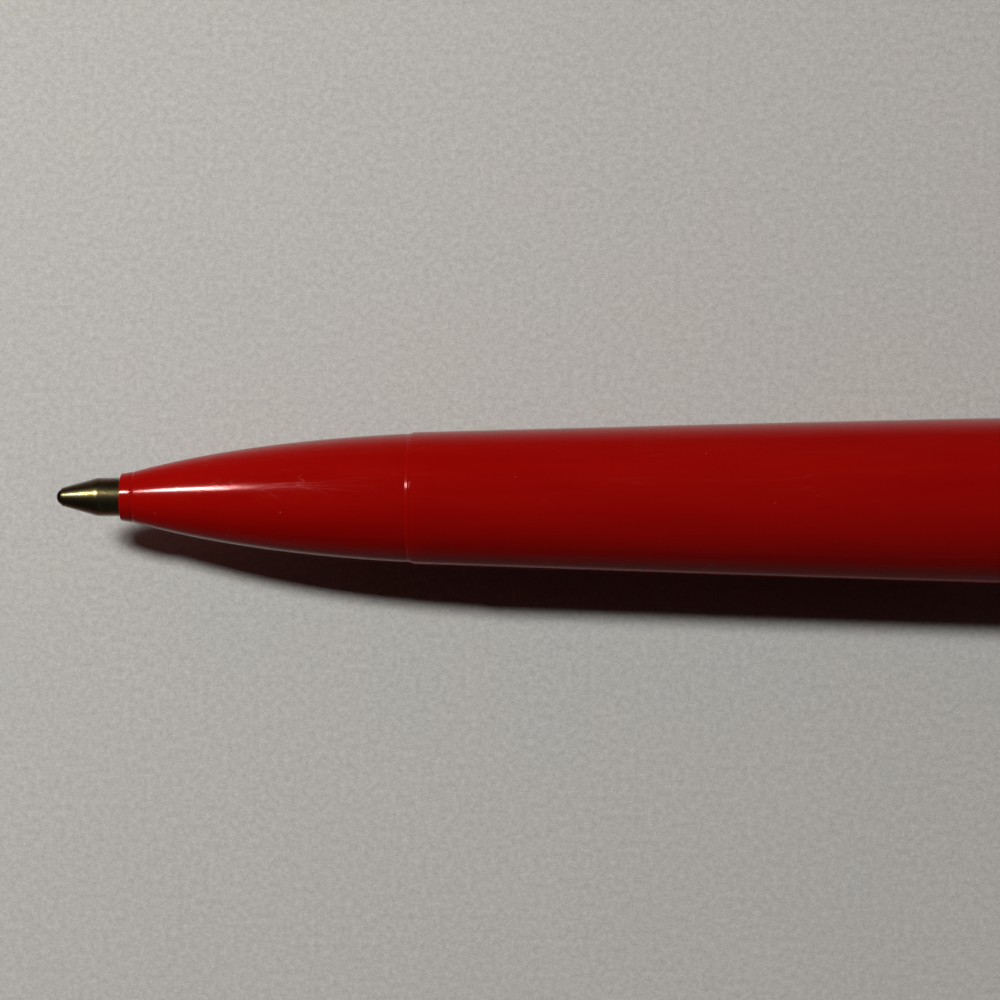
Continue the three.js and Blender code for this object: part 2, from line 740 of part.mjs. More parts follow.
// The clip is bent from sheet: a tongue in the cap, an arm along the tube, and a turned-up end.
function pocketClip() {
  const armRadius = proudRadius + clipRise;
  const freeEnd = tongueStation - clipLength;
  const gripStation = freeEnd + clipGrip;
  const gripRadius = tubeRadius + looseGap + clipThickness / 2;
  const centreline = new THREE.CurvePath();
  const bendStart = new THREE.Vector2(tongueStation, armRadius - clipBend);
  const armStart = new THREE.Vector2(tongueStation - clipBend, armRadius);
  const grip = new THREE.Vector2(gripStation, gripRadius);
  const slope = (armRadius - gripRadius) / (armStart.x - gripStation);
  const leadReach = clipGrip * 0.6;
  centreline.add(new THREE.LineCurve(
    new THREE.Vector2(tongueStation, proudRadius - clipTongue), bendStart,
  ));
  centreline.add(new THREE.QuadraticBezierCurve(
    bendStart, new THREE.Vector2(tongueStation, armRadius), armStart,
  ));
  centreline.add(new THREE.CubicBezierCurve(
    armStart,
    new THREE.Vector2(armStart.x - clipLength * 0.3, armRadius),
    new THREE.Vector2(gripStation + leadReach, gripRadius + slope * leadReach * 0.4),
    grip,
  ));
  centreline.add(new THREE.QuadraticBezierCurve(
    grip,
    new THREE.Vector2(gripStation - leadReach, gripRadius),
    new THREE.Vector2(freeEnd, gripRadius + clipLead),
  ));
  const steps = [2, 6, 14, 6];
  const middle = centreline.curves.flatMap((curve, index) => {
    const first = index === 0 ? 0 : 1;
    return Array.from({ length: steps[index] + 1 - first }, (_, step) => {
      const share = (step + first) / steps[index];
      const tangent = curve.getTangent(share);
      return { point: curve.getPoint(share), normal: new THREE.Vector2(-tangent.y, tangent.x) };
    });
  });
  const side = (half) => middle.map(({ point, normal }) => point.clone().addScaledVector(normal, half));
  const sheet = new THREE.ExtrudeGeometry(
    new THREE.Shape([...side(clipThickness / 2), ...side(-clipThickness / 2).reverse()]),
    { depth: clipWidth, bevelEnabled: false },
  ).translate(0, 0, -clipWidth / 2);
  const endRadius = clipEndWidth / 2;
  const plan = new THREE.Shape()
    .moveTo(tongueStation + 1, -clipWidth / 2)
    .lineTo(tongueStation + 1, clipWidth / 2)
    .lineTo(tongueStation - clipLength * 0.2, clipWidth / 2)
    .lineTo(freeEnd + endRadius, endRadius)
    .absarc(freeEnd + endRadius, 0, endRadius, Math.PI / 2, 3 * Math.PI / 2, false)
    .lineTo(tongueStation - clipLength * 0.2, -clipWidth / 2);
  const planTool = new THREE.ExtrudeGeometry(plan, {
    depth: armRadius + 4, curveSegments: 12, bevelEnabled: false,
  }).rotateX(-Math.PI / 2);
  return geometryOf(solidOf(sheet).intersect(solidOf(planTool))).rotateX(clipAngle);
}

// On a table the pen lies on its ring and cap, rolled until the clip's edge also touches. The clip's lower edge is
// then as far below the axis as the flats of the ring and cap.
const restHeight = proudRadius * Math.cos(Math.PI / manySides);
const clipOutside = proudRadius + clipRise + clipThickness / 2;
const clipReach = Math.hypot(clipOutside, clipWidth / 2);
const clipDrop = Math.asin(restHeight / clipReach) - Math.atan2(clipWidth / 2, clipOutside);
const clipAngle = Math.PI + clipDrop;

// Assembly

const lowerPlug = chamberPlug(lowerPlugFront, chamberFront);
const upperPlug = chamberPlug(upperPlugRear, chamberRear);

const refill = group(
  named('writing_ball', writingBall(), hardBall),
  named('refill_point', refillPoint(), brass),
  named('refill_tube', refillTube(), naturalTube),
  named('ink_column', inkColumn(), blueInk),
  named('pusher', pusher(), greyAcetal),
  named('cross_pin', crossPin(), springSteel),
);

const lowerHalf = group(
  named('nose_cone', noseCone(), redPlastic),
  named('lower_barrel', lowerBarrel(), redPlastic),
  named('guide_sleeve', guideSleeve(), greyAcetal),
  named('return_spring', returnSpring(), springSteel),
  refill,
);

const upperHalf = group(
  named('twist_cam', twistCam(), redPlastic),
  named('retaining_clip', retainingClip(), springSteel),
  named('drag_ring', dragRing(), blackRubber),
  named('centre_ring', centreRing(), chrome),
  named('clear_tube', clearTube(), clearAcrylic),
  named('lower_plug', lowerPlug.plug, whitePlastic),
  named('lower_seal', seal(lowerPlug.sealStation, boreRadius - fitGap / 3, sealRadius), blackRubber),
  named('upper_plug', upperPlug.plug, whitePlastic),
  named('upper_seal', seal(upperPlug.sealStation, boreRadius - fitGap / 3, sealRadius), blackRubber),
  named('oil_front', oil(1), clearOil),
  named('oil_rear', oil(-1), clearOil),
  named('backdrop_film', film(-1), seaFilm),
  named('front_film', film(1), foamFilm),
  named('floater', floater(), boatFilm),
  named('top_cap', topCap(), redPlastic),
  named('pocket_clip', pocketClip(), chrome),
);

// The pen's frame has its origin on the table, under the middle of the pen.
const pen = group(lowerHalf, upperHalf);
const extent = new THREE.Box3().setFromObject(pen);
const middle = extent.getCenter(new THREE.Vector3());
pen.position.set(-middle.x, -middle.y, -extent.min.z);

export default group(pen);
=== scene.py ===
# A floaty pen with its writing point out, lying on a pale table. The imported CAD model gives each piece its
# place and its size. The sections below follow the pen as it is put together, from the ball to the pocket
# clip, and then light it and look down on it.

import math

import bmesh
import bpy
import numpy as np
from mathutils import Matrix, Vector


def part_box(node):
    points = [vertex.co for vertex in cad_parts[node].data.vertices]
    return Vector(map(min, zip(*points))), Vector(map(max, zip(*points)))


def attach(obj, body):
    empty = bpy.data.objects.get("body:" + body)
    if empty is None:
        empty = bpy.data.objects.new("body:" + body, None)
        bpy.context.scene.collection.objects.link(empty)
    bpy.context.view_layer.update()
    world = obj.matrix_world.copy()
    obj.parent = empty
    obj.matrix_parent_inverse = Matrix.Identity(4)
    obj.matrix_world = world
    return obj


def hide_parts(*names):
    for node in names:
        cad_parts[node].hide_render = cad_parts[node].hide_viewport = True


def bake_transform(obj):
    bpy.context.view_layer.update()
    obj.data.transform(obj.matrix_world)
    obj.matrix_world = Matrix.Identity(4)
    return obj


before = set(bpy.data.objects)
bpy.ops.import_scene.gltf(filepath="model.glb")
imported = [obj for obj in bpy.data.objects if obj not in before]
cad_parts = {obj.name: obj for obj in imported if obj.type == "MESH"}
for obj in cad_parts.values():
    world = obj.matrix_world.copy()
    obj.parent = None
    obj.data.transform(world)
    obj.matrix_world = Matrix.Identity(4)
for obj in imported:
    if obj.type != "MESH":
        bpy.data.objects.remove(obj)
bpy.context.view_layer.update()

# Writing ball. A hard metal ball of 1 mm that rolls in the brass point. It is ground and polished, and ink
# from the tube behind it keeps it wet.
mm = 0.001
on_axis = 1e-6
ring_low, ring_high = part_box("centre_ring")
axis_y = (ring_low.y + ring_high.y) / 2
axis_z = (ring_low.z + ring_high.z) / 2
tip_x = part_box("writing_ball")[0].x


def ends(node):
    """The stations of a CAD node's two ends: millimetres from the front of the ball."""
    low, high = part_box(node)
    return (low.x - tip_x) / mm, (high.x - tip_x) / mm


def link(name, mesh):
    """A new object for a mesh."""
    piece = bpy.data.objects.new(name, mesh)
    bpy.context.scene.collection.objects.link(piece)
    return piece


def shade(mesh, angle=35):
    """Smooth shading with sharp edges where the surface turns by more than an angle in degrees."""
    mesh.shade_smooth()
    mesh.set_sharp_from_angle(angle=math.radians(angle))


def outward(mesh, in_triangles=False):
    """Points the faces of a closed mesh outwards."""
    body = bmesh.new()
    body.from_mesh(mesh)
    if in_triangles:
        bmesh.ops.triangulate(body, faces=body.faces)
    bmesh.ops.recalc_face_normals(body, faces=body.faces)
    body.to_mesh(mesh)
    body.free()


def shell(name, corners, faces, in_triangles=False):
    """A closed piece, from its corners and faces."""
    mesh = bpy.data.meshes.new(name)
    mesh.from_pydata(corners, [], faces)
    outward(mesh, in_triangles)
    shade(mesh)
    return link(name, mesh)


def turned(name, outline, sides=128):
    """A piece turned on the pen's axis, from stations and radii in millimetres. An outline that leaves the
    axis closes on itself."""
    rows = []
    corners = []
    for station, radius in outline:
        if radius < on_axis:
            rows.append([len(corners)] * sides)
            corners.append((station, 0, 0))
            continue
        rows.append(list(range(len(corners), len(corners) + sides)))
        for side in range(sides):
            angle = 2 * math.pi * (side + 0.5) / sides
            corners.append((station, radius * math.cos(angle), radius * math.sin(angle)))
    closes = outline[0][1] > on_axis
    faces = []
    for here, there in zip(rows, rows[1:] + ([rows[0]] if closes else [])):
        for side in range(sides):
            after = (side + 1) % sides
            face = [here[side], here[after], there[after], there[side]]
            faces.append([corner for index, corner in enumerate(face) if corner not in face[:index]])
    places = np.array(corners) * mm + (tip_x, axis_y, axis_z)
    return shell(name, places.tolist(), [face for face in faces if len(face) > 2])


def fill(node, values):
    """Fills a node's sockets by name: with a plain value, with a link from a socket, or with a link from the
    first output of another node."""
    for name, value in values.items():
        if isinstance(value, bpy.types.Node):
            value = next(output for output in value.outputs if output.enabled)
        if isinstance(value, bpy.types.NodeSocket):
            node.id_data.links.new(value, node.inputs[name])
        else:
            node.inputs[name].default_value = value


def put(where, kind, values=None, **settings):
    """Adds a node, with its settings and its sockets filled, to a tree or to the tree of a node or socket."""
    node = where.id_data.nodes.new(kind)
    for name, value in settings.items():
        setattr(node, name, value)
    fill(node, values or {})
    return node


def noise(place, scale, detail=2.0, roughness=0.5):
    """Noise over a piece. Its scale is in cells to the metre."""
    values = {"Vector": place, "Scale": scale, "Detail": detail, "Roughness": roughness}
    return put(place, "ShaderNodeTexNoise", values)


def ramp(value, *stops):
    """Colours that follow a value, through stops of a position and a colour."""
    node = put(value, "ShaderNodeValToRGB", {"Fac": value})
    for _ in stops[2:]:
        node.color_ramp.elements.new(0.5)
    for element, (position, colour) in zip(node.color_ramp.elements, stops):
        element.position = position
        element.color = (*colour, 1)
    return node


def rescaled(value, low, high, from_low=0.0, from_high=1.0):
    """A value stretched to run from low to high, and kept between them."""
    values = {"Value": value, "From Min": from_low, "From Max": from_high, "To Min": low, "To Max": high}
    return put(value, "ShaderNodeMapRange", values)


def new_finish(name, values):
    """A material with values on its shader's own sockets. Gives the material, its shader and the piece's own
    coordinates."""
    material = bpy.data.materials.new(name)
    material.use_nodes = True
    shader = material.node_tree.nodes["Principled BSDF"]
    fill(shader, values)
    return material, shader, put(shader, "ShaderNodeTexCoord").outputs["Object"]


def dress(piece, material, slot, body, *nodes):
    """Gives a finished piece its material and the body that it rides on, and hides the CAD nodes that it
    stands for. The slot is not used."""
    if material:
        piece.data.materials.clear()
        piece.data.materials.append(material)
    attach(piece, body)
    if nodes:
        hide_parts(*nodes)


def ball_steel():
    """Polished hard metal under an uneven film of ink."""
    material, shader, place = new_finish("ball_steel", {"Metallic": 1.0})
    film = noise(place, 2600.0, 3.0)
    fill(shader, {
        "Base Color": ramp(film, (0.42, (0.01, 0.01, 0.02)), (0.6, (0.07, 0.065, 0.055))),
        "Roughness": rescaled(film, 0.06, 0.22),
    })
    return material


ball_radius = ends("writing_ball")[1] / 2
ball_turns = [math.pi * step / 32 for step in range(33)]
ball_outline = [
    (ball_radius - ball_radius * math.cos(turn), ball_radius * math.sin(turn)) for turn in ball_turns
]
dress(turned("ball_of_point", ball_outline, 64), ball_steel(), "ball_metal", "ball", "writing_ball")

# Refill point. Turned from brass rod: a cone with a lip rolled round the ball, and a straight shank that
# slides in the nose cone. Its fine tool marks run round it, and its colour has dulled to olive.


def above(node):
    """How far a CAD node reaches above the pen's axis, in millimetres."""
    return (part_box(node)[1].z - axis_z) / mm


lip_station = 0.28
lip_radius = 0.53
shoulder_station = 0.47
cone_end = 2.5
point_radius = above("refill_point")
point_end = ends("refill_point")[1]
shank_end = 11.5
point_bore = 0.5
feed_radius = 0.16
socket_radius = ball_radius + 0.03
spigot_radius = 1.0
spigot_taper = 13.5


def rounded(corners, steps=5):
    """An outline with rounded corners. A corner is a station, a radius and, where it is rounded, the
    rounding's size."""
    outline = []
    for index, corner in enumerate(corners):
        here = Vector(corner[:2])
        if len(corner) < 3:
            outline.append(tuple(here))
            continue
        to_before = (Vector(corners[index - 1][:2]) - here).normalized()
        to_after = (Vector(corners[(index + 1) % len(corners)][:2]) - here).normalized()
        half = to_before.angle(to_after) / 2
        centre = here + (to_before + to_after).normalized() * corner[2] / math.sin(half)
        reach = corner[2] / math.tan(half)
        start = here + to_before * reach - centre
        end = here + to_after * reach - centre
        for step in range(steps + 1):
            direction = start.lerp(end, step / steps).normalized()
            outline.append(tuple(centre + direction * corner[2]))
    return outline


def linked(*values):
    """The first of some values that is a node or a socket."""
    return next(value for value in values if isinstance(value, (bpy.types.Node, bpy.types.NodeSocket)))


def maths(operation, *values):
    """The result of an operation on one to three values or links."""
    return put(linked(*values), "ShaderNodeMath", dict(enumerate(values)), operation=operation)


def times(first, second):
    """The product of two values or links."""
    return maths("MULTIPLY", first, second)


def bumped(height, strength, distance):
    """A surface raised by a height. The distance is in metres."""
    return put(height, "ShaderNodeBump", {"Height": height, "Strength": strength, "Distance": distance})


def new_group(name, inputs, output):
    """A shader node group on a piece's own coordinates, with named numbers for inputs and one output."""
    tree = bpy.data.node_groups.new(name, "ShaderNodeTree")
    tree.interface.new_socket("Vector", in_out="INPUT", socket_type="NodeSocketVector")
    for label, value in inputs.items():
        tree.interface.new_socket(label, in_out="INPUT", socket_type="NodeSocketFloat").default_value = value
    tree.interface.new_socket(output, in_out="OUTPUT", socket_type="NodeSocketFloat")
    return tree, put(tree, "NodeGroupInput").outputs, put(tree, "NodeGroupOutput")


def tool_marks_group():
    """Fine grooves round the pen's axis, as a lathe or a polishing wheel leaves them."""
    tree, given, result = new_group("tool_marks", {"Grooves per mm": 20.0}, "Height")
    along = put(tree, "ShaderNodeSeparateXYZ", {"Vector": given["Vector"]}).outputs["X"]
    count = times(times(along, 1 / mm), given["Grooves per mm"])
    values = {"W": count, "Scale": 1.0, "Detail": 2.0}
    fill(result, {"Height": put(tree, "ShaderNodeTexNoise", values, noise_dimensions="1D")})
    return tree


def scratches_group():
    """Hairline scratches in three directions, gathered in patches."""
    tree, given, result = new_group("scratches", {"Lines per mm": 1.5, "Width": 0.01, "Patches": 0.5}, "Mask")
    scale = times(given["Lines per mm"], 1 / mm)
    total = None
    for turn in (0.03, 0.55, -0.9):
        rotation = (turn, turn * 0.7, turn)
        values = {"Vector": given["Vector"], "Rotation": rotation, "Scale": (0.03, 1.0, 1.0)}
        lines = noise(put(tree, "ShaderNodeMapping", values), scale, 1.0, 0.4)
        distance = maths("ABSOLUTE", maths("SUBTRACT", lines, 0.5))
        line = rescaled(distance, 1.0, 0.0, 0.0, given["Width"])
        total = line if total is None else maths("MAXIMUM", total, line)
    worn = rescaled(noise(given["Vector"], 260.0), 0.0, 1.0, 0.4, 0.7)
    patches = times(worn, given["Patches"])
    fill(result, {"Mask": times(patches, total)})
    return tree


tool_marks = tool_marks_group()
scratches = scratches_group()


def use_group(group, place, **values):
    """Places a shader node group in a material. Values are by input name, with _ for a space."""
    named = {name.replace("_", " "): value for name, value in values.items()}
    return put(place, "ShaderNodeGroup", {"Vector": place, **named}, node_tree=group)


def dulled_brass():
    """Turned brass under a thin film of ink and oil: olive where it has dulled, with tool marks in the
    gloss."""
    plain = {"Metallic": 1.0, "Coat Weight": 0.6, "Coat Roughness": 0.12}
    material, shader, place = new_finish("dulled_brass", plain)
    stain = noise(place, 1100.0, 4.0, 0.6)
    marks = use_group(tool_marks, place, Grooves_per_mm=26.0)
    fill(shader, {
        "Base Color": ramp(stain, (0.35, (0.07, 0.053, 0.016)), (0.65, (0.165, 0.135, 0.065))),
        "Roughness": rescaled(stain, 0.3, 0.23, 0.3, 0.7),
        "Normal": bumped(marks, 0.5, 0.000006),
    })
    return material


mouth_angle = math.acos((ball_radius - lip_station) / socket_radius)
feed_angle = math.pi - math.asin(feed_radius / socket_radius)
socket_outline = []
for step in range(17):
    angle = mouth_angle + (feed_angle - mouth_angle) * step / 16
    socket_outline.append((ball_radius - socket_radius * math.cos(angle), socket_radius * math.sin(angle)))
point_outline = socket_outline + rounded([
    (cone_end * 0.7, feed_radius),
    (cone_end, point_bore),
    (point_end, point_bore),
    (point_end, spigot_radius - 0.1, 0.08),
    (spigot_taper, spigot_radius),
    (shank_end, spigot_radius),
    (shank_end, point_radius, 0.08),
    (cone_end + 0.02, point_radius, 1.0),
    (shoulder_station, lip_radius + 0.06, 0.3),
    (lip_station, lip_radius, 0.02),
])
dress(turned("brass_point", point_outline, 96), dulled_brass(), "point_brass", "refill", "refill_point")

# Ink tube and ink. The tube is an extruded polypropylene pipe pressed over the point's spigot. Two ears are
# pinched out of it, and the return spring pushes on them. The ink shows dark through its milky wall.
tube_wall = 0.45
ink_gap = 0.05
tube_radius = above("ink_column") + tube_wall + ink_gap
tube_bore = tube_radius - tube_wall
tube_front, tube_rear = ends("refill_tube")
ear_station = 24.0
ear_length = 2.0
ear_reach = above("refill_tube")


def milky_tube():
    """Half-clear polypropylene with faint drawing lines."""
    plain = {"Base Color": (0.9, 0.89, 0.84, 1), "Roughness": 0.25, "Transmission Weight": 0.85, "IOR": 1.49}
    material, shader, place = new_finish("milky_tube", plain)
    streaks = put(place, "ShaderNodeMapping", {"Vector": place, "Scale": (0.05, 1.0, 1.0)})
    fill(shader, {"Normal": bumped(noise(streaks, 2500.0), 0.3, 0.00001)})
    return material


def wet_ink():
    """Thick blue ink with a wet shine."""
    material, shader, place = new_finish("wet_ink", {"Roughness": 0.08})
    depth = noise(place, 400.0)
    fill(shader, {"Base Color": ramp(depth, (0.0, (0.004, 0.006, 0.03)), (1.0, (0.012, 0.02, 0.11)))})
    return material


def ease(value):
    """A smooth step from 0 to 1."""
    value = min(max(value, 0.0), 1.0)
    return value * value * (3 - 2 * value)


def pinch_ears(piece):
    """Draws two ears out of the ink tube, above and below the axis."""
    for vertex in piece.data.vertices:
        station = (vertex.co.x - tip_x) / mm
        across = Vector((vertex.co.y - axis_y, vertex.co.z - axis_z)) / mm
        if across.length < tube_radius - 0.01:
            continue
        along = ease((station - ear_station) / 0.15) * ease((ear_station + ear_length - station) / 1.4)
        sideways = ease(1.6 - abs(across.x) / 0.35)
        rise = along * sideways * (ear_reach - tube_radius)
        stretched = across.normalized() * (tube_radius + rise)
        vertex.co.y = axis_y + stretched.x * mm
        vertex.co.z = axis_z + stretched.y * mm


tube_outline = rounded([
    (tube_front, tube_bore),
    (tube_front, tube_radius, 0.08),
    *[(ear_station - 0.5 + 0.075 * step, tube_radius) for step in range(48)],
    (tube_rear, tube_radius, 0.08),
    (tube_rear, tube_bore),
])
ink_tube = turned("ink_tube", tube_outline, 96)
pinch_ears(ink_tube)
dress(ink_tube, milky_tube(), "refill_plastic", "refill", "refill_tube")
ink_radius = tube_bore - ink_gap
ink_front, ink_rear = ends("ink_column")
ink_outline = rounded([
    (ink_front, 0), (ink_front, ink_radius, 0.2), (ink_rear, ink_radius, 0.4), (ink_rear, 0),
])
dress(turned("ink_in_tube", ink_outline, 64), wet_ink(), "ink", "refill", "ink_column")

# Return spring. Music wire of 0.36 mm wound on a mandrel, with closed ends. It stands on the seat in the nose
# cone and pushes on the tube's ears. It shortens as the point comes out, but here it is built at one length.
wire_radius = 0.18
spring_radius = above("return_spring") - wire_radius


def geometry_tree(name, sizes):
    """A Geometry Nodes tree with named sizes for inputs. Gives the tree, its sizes and its output node."""
    tree = bpy.data.node_groups.new(name, "GeometryNodeTree")
    tree.interface.new_socket("Geometry", in_out="OUTPUT", socket_type="NodeSocketGeometry")
    for label, value in sizes.items():
        kind = "NodeSocketInt" if isinstance(value, int) else "NodeSocketFloat"
        tree.interface.new_socket(label, in_out="INPUT", socket_type=kind).default_value = value
    return tree, put(tree, "NodeGroupInput").outputs, put(tree, "NodeGroupOutput")


def end_tree(tree, result, geometry, material):
    """Ends a Geometry Nodes tree: makes its instances real and gives them their material."""
    real = put(tree, "GeometryNodeRealizeInstances", {"Geometry": geometry})
    dressed = put(tree, "GeometryNodeSetMaterial", {"Geometry": real, "Material": material})
    fill(result, {"Geometry": dressed})


def finished(name, piece):
    """The plain mesh of a piece with its modifiers applied, which takes the piece's place."""
    graph = bpy.context.evaluated_depsgraph_get()
    mesh = bpy.data.meshes.new_from_object(piece.evaluated_get(graph), depsgraph=graph)
    bpy.data.objects.remove(piece)
    return link(name, mesh)


def grown(name, tree, sizes):
    """Runs a Geometry Nodes tree and keeps the plain mesh that it makes."""
    seed = link(name + "_seed", bpy.data.meshes.new(name + "_seed"))
    modifier = seed.modifiers.new("grow", "NODES")
    modifier.node_group = tree
    for item in tree.interface.items_tree:
        if item.in_out == "INPUT":
            modifier[item.identifier] = sizes[item.name]
    return finished(name, seed)


def drawn_wire():
    """Bright drawn spring wire."""
    material, shader, place = new_finish("drawn_wire", {"Metallic": 1.0, "Base Color": (0.5, 0.5, 0.51, 1)})
    fill(shader, {"Roughness": rescaled(noise(place, 5000.0, 3.0), 0.16, 0.36)})
    return material


def coil_tree(sizes, material):
    """A coil along X whose end turns lie close together, as a round wire with closed ends."""
    tree, size, result = geometry_tree("closed_coil", sizes)
    share = put(tree, "GeometryNodeSplineParameter").outputs["Factor"]
    end_share = maths("DIVIDE", size["End Turns"], size["Turns"])
    end_rise = times(size["End Turns"], size["End Pitch"])
    last_share = maths("SUBTRACT", 1.0, end_share)
    middle_rise = maths("SUBTRACT", size["Length"], times(end_rise, 2.0))
    first = rescaled(share, 0.0, end_rise, 0.0, end_share)
    middle = rescaled(share, 0.0, middle_rise, end_share, last_share)
    last = rescaled(share, 0.0, end_rise, last_share, 1.0)
    angle = times(times(share, size["Turns"]), 2 * math.pi)
    across = times(maths("COSINE", angle), size["Mean Radius"])
    upward = times(maths("SINE", angle), size["Mean Radius"])
    place = put(tree, "ShaderNodeCombineXYZ", {
        "X": maths("ADD", maths("ADD", first, middle), maths("ADD", last, size["Front"])),
        "Y": maths("ADD", across, size["Axis Y"]),
        "Z": maths("ADD", upward, size["Axis Z"]),
    })
    line = put(tree, "GeometryNodeCurvePrimitiveLine", {"End": (1, 0, 0)})
    points = put(tree, "GeometryNodeResampleCurve", {"Curve": line, "Count": size["Points"]})
    moved = put(tree, "GeometryNodeSetPosition", {"Geometry": points, "Position": place})
    ring = put(tree, "GeometryNodeCurvePrimitiveCircle", {"Resolution": 14, "Radius": size["Wire Radius"]})
    wire = put(tree, "GeometryNodeCurveToMesh", {"Curve": moved, "Profile Curve": ring, "Fill Caps": True})
    end_tree(tree, result, wire, material)
    return tree


spring_low, spring_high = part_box("return_spring")
spring_sizes = {
    "Turns": 11.0,
    "End Turns": 1.25,
    "End Pitch": (2 * wire_radius + 0.05) * mm,
    "Front": spring_low.x + wire_radius * mm,
    "Length": spring_high.x - spring_low.x - 2 * wire_radius * mm,
    "Mean Radius": spring_radius * mm,
    "Wire Radius": wire_radius * mm,
    "Axis Y": axis_y,
    "Axis Z": axis_z,
    "Points": 560,
}
steel_wire = drawn_wire()
spring = grown("return_coil", coil_tree(spring_sizes, steel_wire), spring_sizes)
shade(spring.data, 50)
outward(spring.data)
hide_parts("return_spring")
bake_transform(spring)

# Pusher and cross pin. The pusher is a turned acetal plug that holds the tube's tail. The steel pin goes
# through it and rides in the slots of the guide sleeve and the cam.


def middle_of(node):
    """The station of a CAD node's middle."""
    return sum(ends(node)) / 2


pusher_front, pusher_rear = ends("pusher")
pusher_radius = above("pusher")
pin_radius = (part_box("cross_pin")[1].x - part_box("cross_pin")[0].x) / 2 / mm
pin_station = middle_of("cross_pin")
pin_reach = above("cross_pin")
cup_radius = tube_radius + 0.1


def combined(piece, tool, operation="DIFFERENCE"):
    """Cuts a tool out of a piece, or joins it on, and removes the tool."""
    name = piece.name
    piece.name = name + "_blank"
    modifier = piece.modifiers.new("cut", "BOOLEAN")
    modifier.operation = operation
    modifier.solver = "EXACT"
    modifier.object = tool
    whole = finished(name, piece)
    bpy.data.objects.remove(tool)
    shade(whole.data)
    return whole


def across_pen(name, outline, station, sides=32):
    """A piece turned on an axis across the pen, along Z. The outline's stations count from the pen's axis."""
    piece = turned(name, outline, sides)
    centre = Vector((tip_x, axis_y, axis_z))
    upright = Matrix.Rotation(math.radians(-90), 4, "Y")
    place = Vector((tip_x + station * mm, axis_y, axis_z))
    piece.data.transform(Matrix.Translation(place) @ upright @ Matrix.Translation(-centre))
    return piece


def acetal(name, colour):
    """Moulded acetal: waxy, with a faint mould texture."""
    material, shader, place = new_finish(name, {"IOR": 1.48, "Base Color": (*colour, 1)})
    grain = noise(place, 3000.0, 4.0)
    fill(shader, {
        "Roughness": rescaled(grain, 0.32, 0.5),
        "Normal": bumped(grain, 0.25, 0.00001),
    })
    return material


grey_acetal = acetal("grey_acetal", (0.26, 0.28, 0.3))
pusher_outline = rounded([
    (tube_rear + 0.1, 0),
    (tube_rear + 0.1, cup_radius),
    (pusher_front, cup_radius, 0.1),
    (pusher_front, pusher_radius, 0.1),
    (pusher_rear, pusher_radius, 0.35),
    (pusher_rear, 0),
])
hole_reach = 4
hole_radius = pin_radius + 0.05
hole_outline = [(-hole_reach, 0), (-hole_reach, hole_radius), (hole_reach, hole_radius), (hole_reach, 0)]
pin_hole = across_pen("pin_hole", hole_outline, pin_station)
pusher = combined(turned("pusher_plug", pusher_outline, 96), pin_hole)
dress(pusher, grey_acetal, "mechanism_plastic", "refill", "pusher")
pin_outline = rounded([
    (-pin_reach, 0), (-pin_reach, pin_radius, 0.12), (pin_reach, pin_radius, 0.12), (pin_reach, 0),
])
pin = across_pen("steel_cross_pin", pin_outline, pin_station, 48)
dress(pin, steel_wire, "spring_steel", "refill", "cross_pin")

# Nose cone. Injection-moulded glossy ABS in deep red, bullet shaped, with a small collar at the tip and a
# thread at the back that screws it into the barrel. Handling has left hairline scratches and dust, and the
# rim at the seam dips and rises a little.
nose_front, nose_rear = ends("nose_cone")
barrel_front, barrel_rear = ends("lower_barrel")
seam = barrel_front - 0.01
nose_bore = point_radius + 0.05
spring_seat = ends("return_spring")[0] - 0.1
clearance = 0.15
clear_bore = tube_radius + clearance
pocket_radius = spring_radius + wire_radius + 0.2
spigot_bore = ear_reach + 0.3
thread_radius = spigot_bore + 0.75
nose_seam_radius = 3.93
nose_face = 3.92
collar_radius = 1.425
collar_end = 4.58
collar_end_radius = 1.53
collar_groove = 4.66
collar_groove_radius = 1.505
curve_start = 4.8
curve_start_radius = 1.575
flare = 0.032
thread_pitch = 0.9
thread_depth = 0.3


def curve_points(start, control, end, steps):
    """Points on a quadratic curve, without its two ends."""
    points = []
    for step in range(1, steps):
        share = step / steps
        point = Vector(start) * (1 - share) ** 2
        point += Vector(control) * 2 * share * (1 - share)
        point += Vector(end) * share ** 2
        points.append(tuple(point))
    return points


def cut_thread(piece, radius, start, end, depth):
    """Presses a helical thread into a plain cylinder. A negative depth cuts it outwards, into a bore."""
    for vertex in piece.data.vertices:
        station = (vertex.co.x - tip_x) / mm
        across = Vector((vertex.co.y - axis_y, vertex.co.z - axis_z))
        if abs(across.length / mm - radius) > 0.01 or not start < station < end:
            continue
        turn = math.atan2(across.y, across.x) / (2 * math.pi)
        phase = (station / thread_pitch - turn) % 1
        groove = ease(2.4 * (0.5 - abs(phase - 0.5)) - 0.2)
        fade = ease((station - start) / thread_pitch) * ease((end - station) / thread_pitch)
        across *= 1 - groove * fade * depth / radius
        vertex.co.y = axis_y + across.x
        vertex.co.z = axis_z + across.y


def specks_group():
    """Small specks of dust, a random few of the cells that they could lie in."""
    tree, given, result = new_group("dust_specks", {"Cells per mm": 2.0, "Share": 0.1}, "Mask")
    scale = times(given["Cells per mm"], 1 / mm)
    cells = put(tree, "ShaderNodeTexVoronoi", {"Vector": given["Vector"], "Scale": scale})
    pick = put(tree, "ShaderNodeSeparateColor", {"Color": cells.outputs["Color"]}).outputs["Red"]
    chosen = maths("LESS_THAN", pick, given["Share"])
    dot = rescaled(cells.outputs["Distance"], 1.0, 0.0, 0.06, 0.16)
    fill(result, {"Mask": times(dot, chosen)})
    return tree


dust_specks = specks_group()


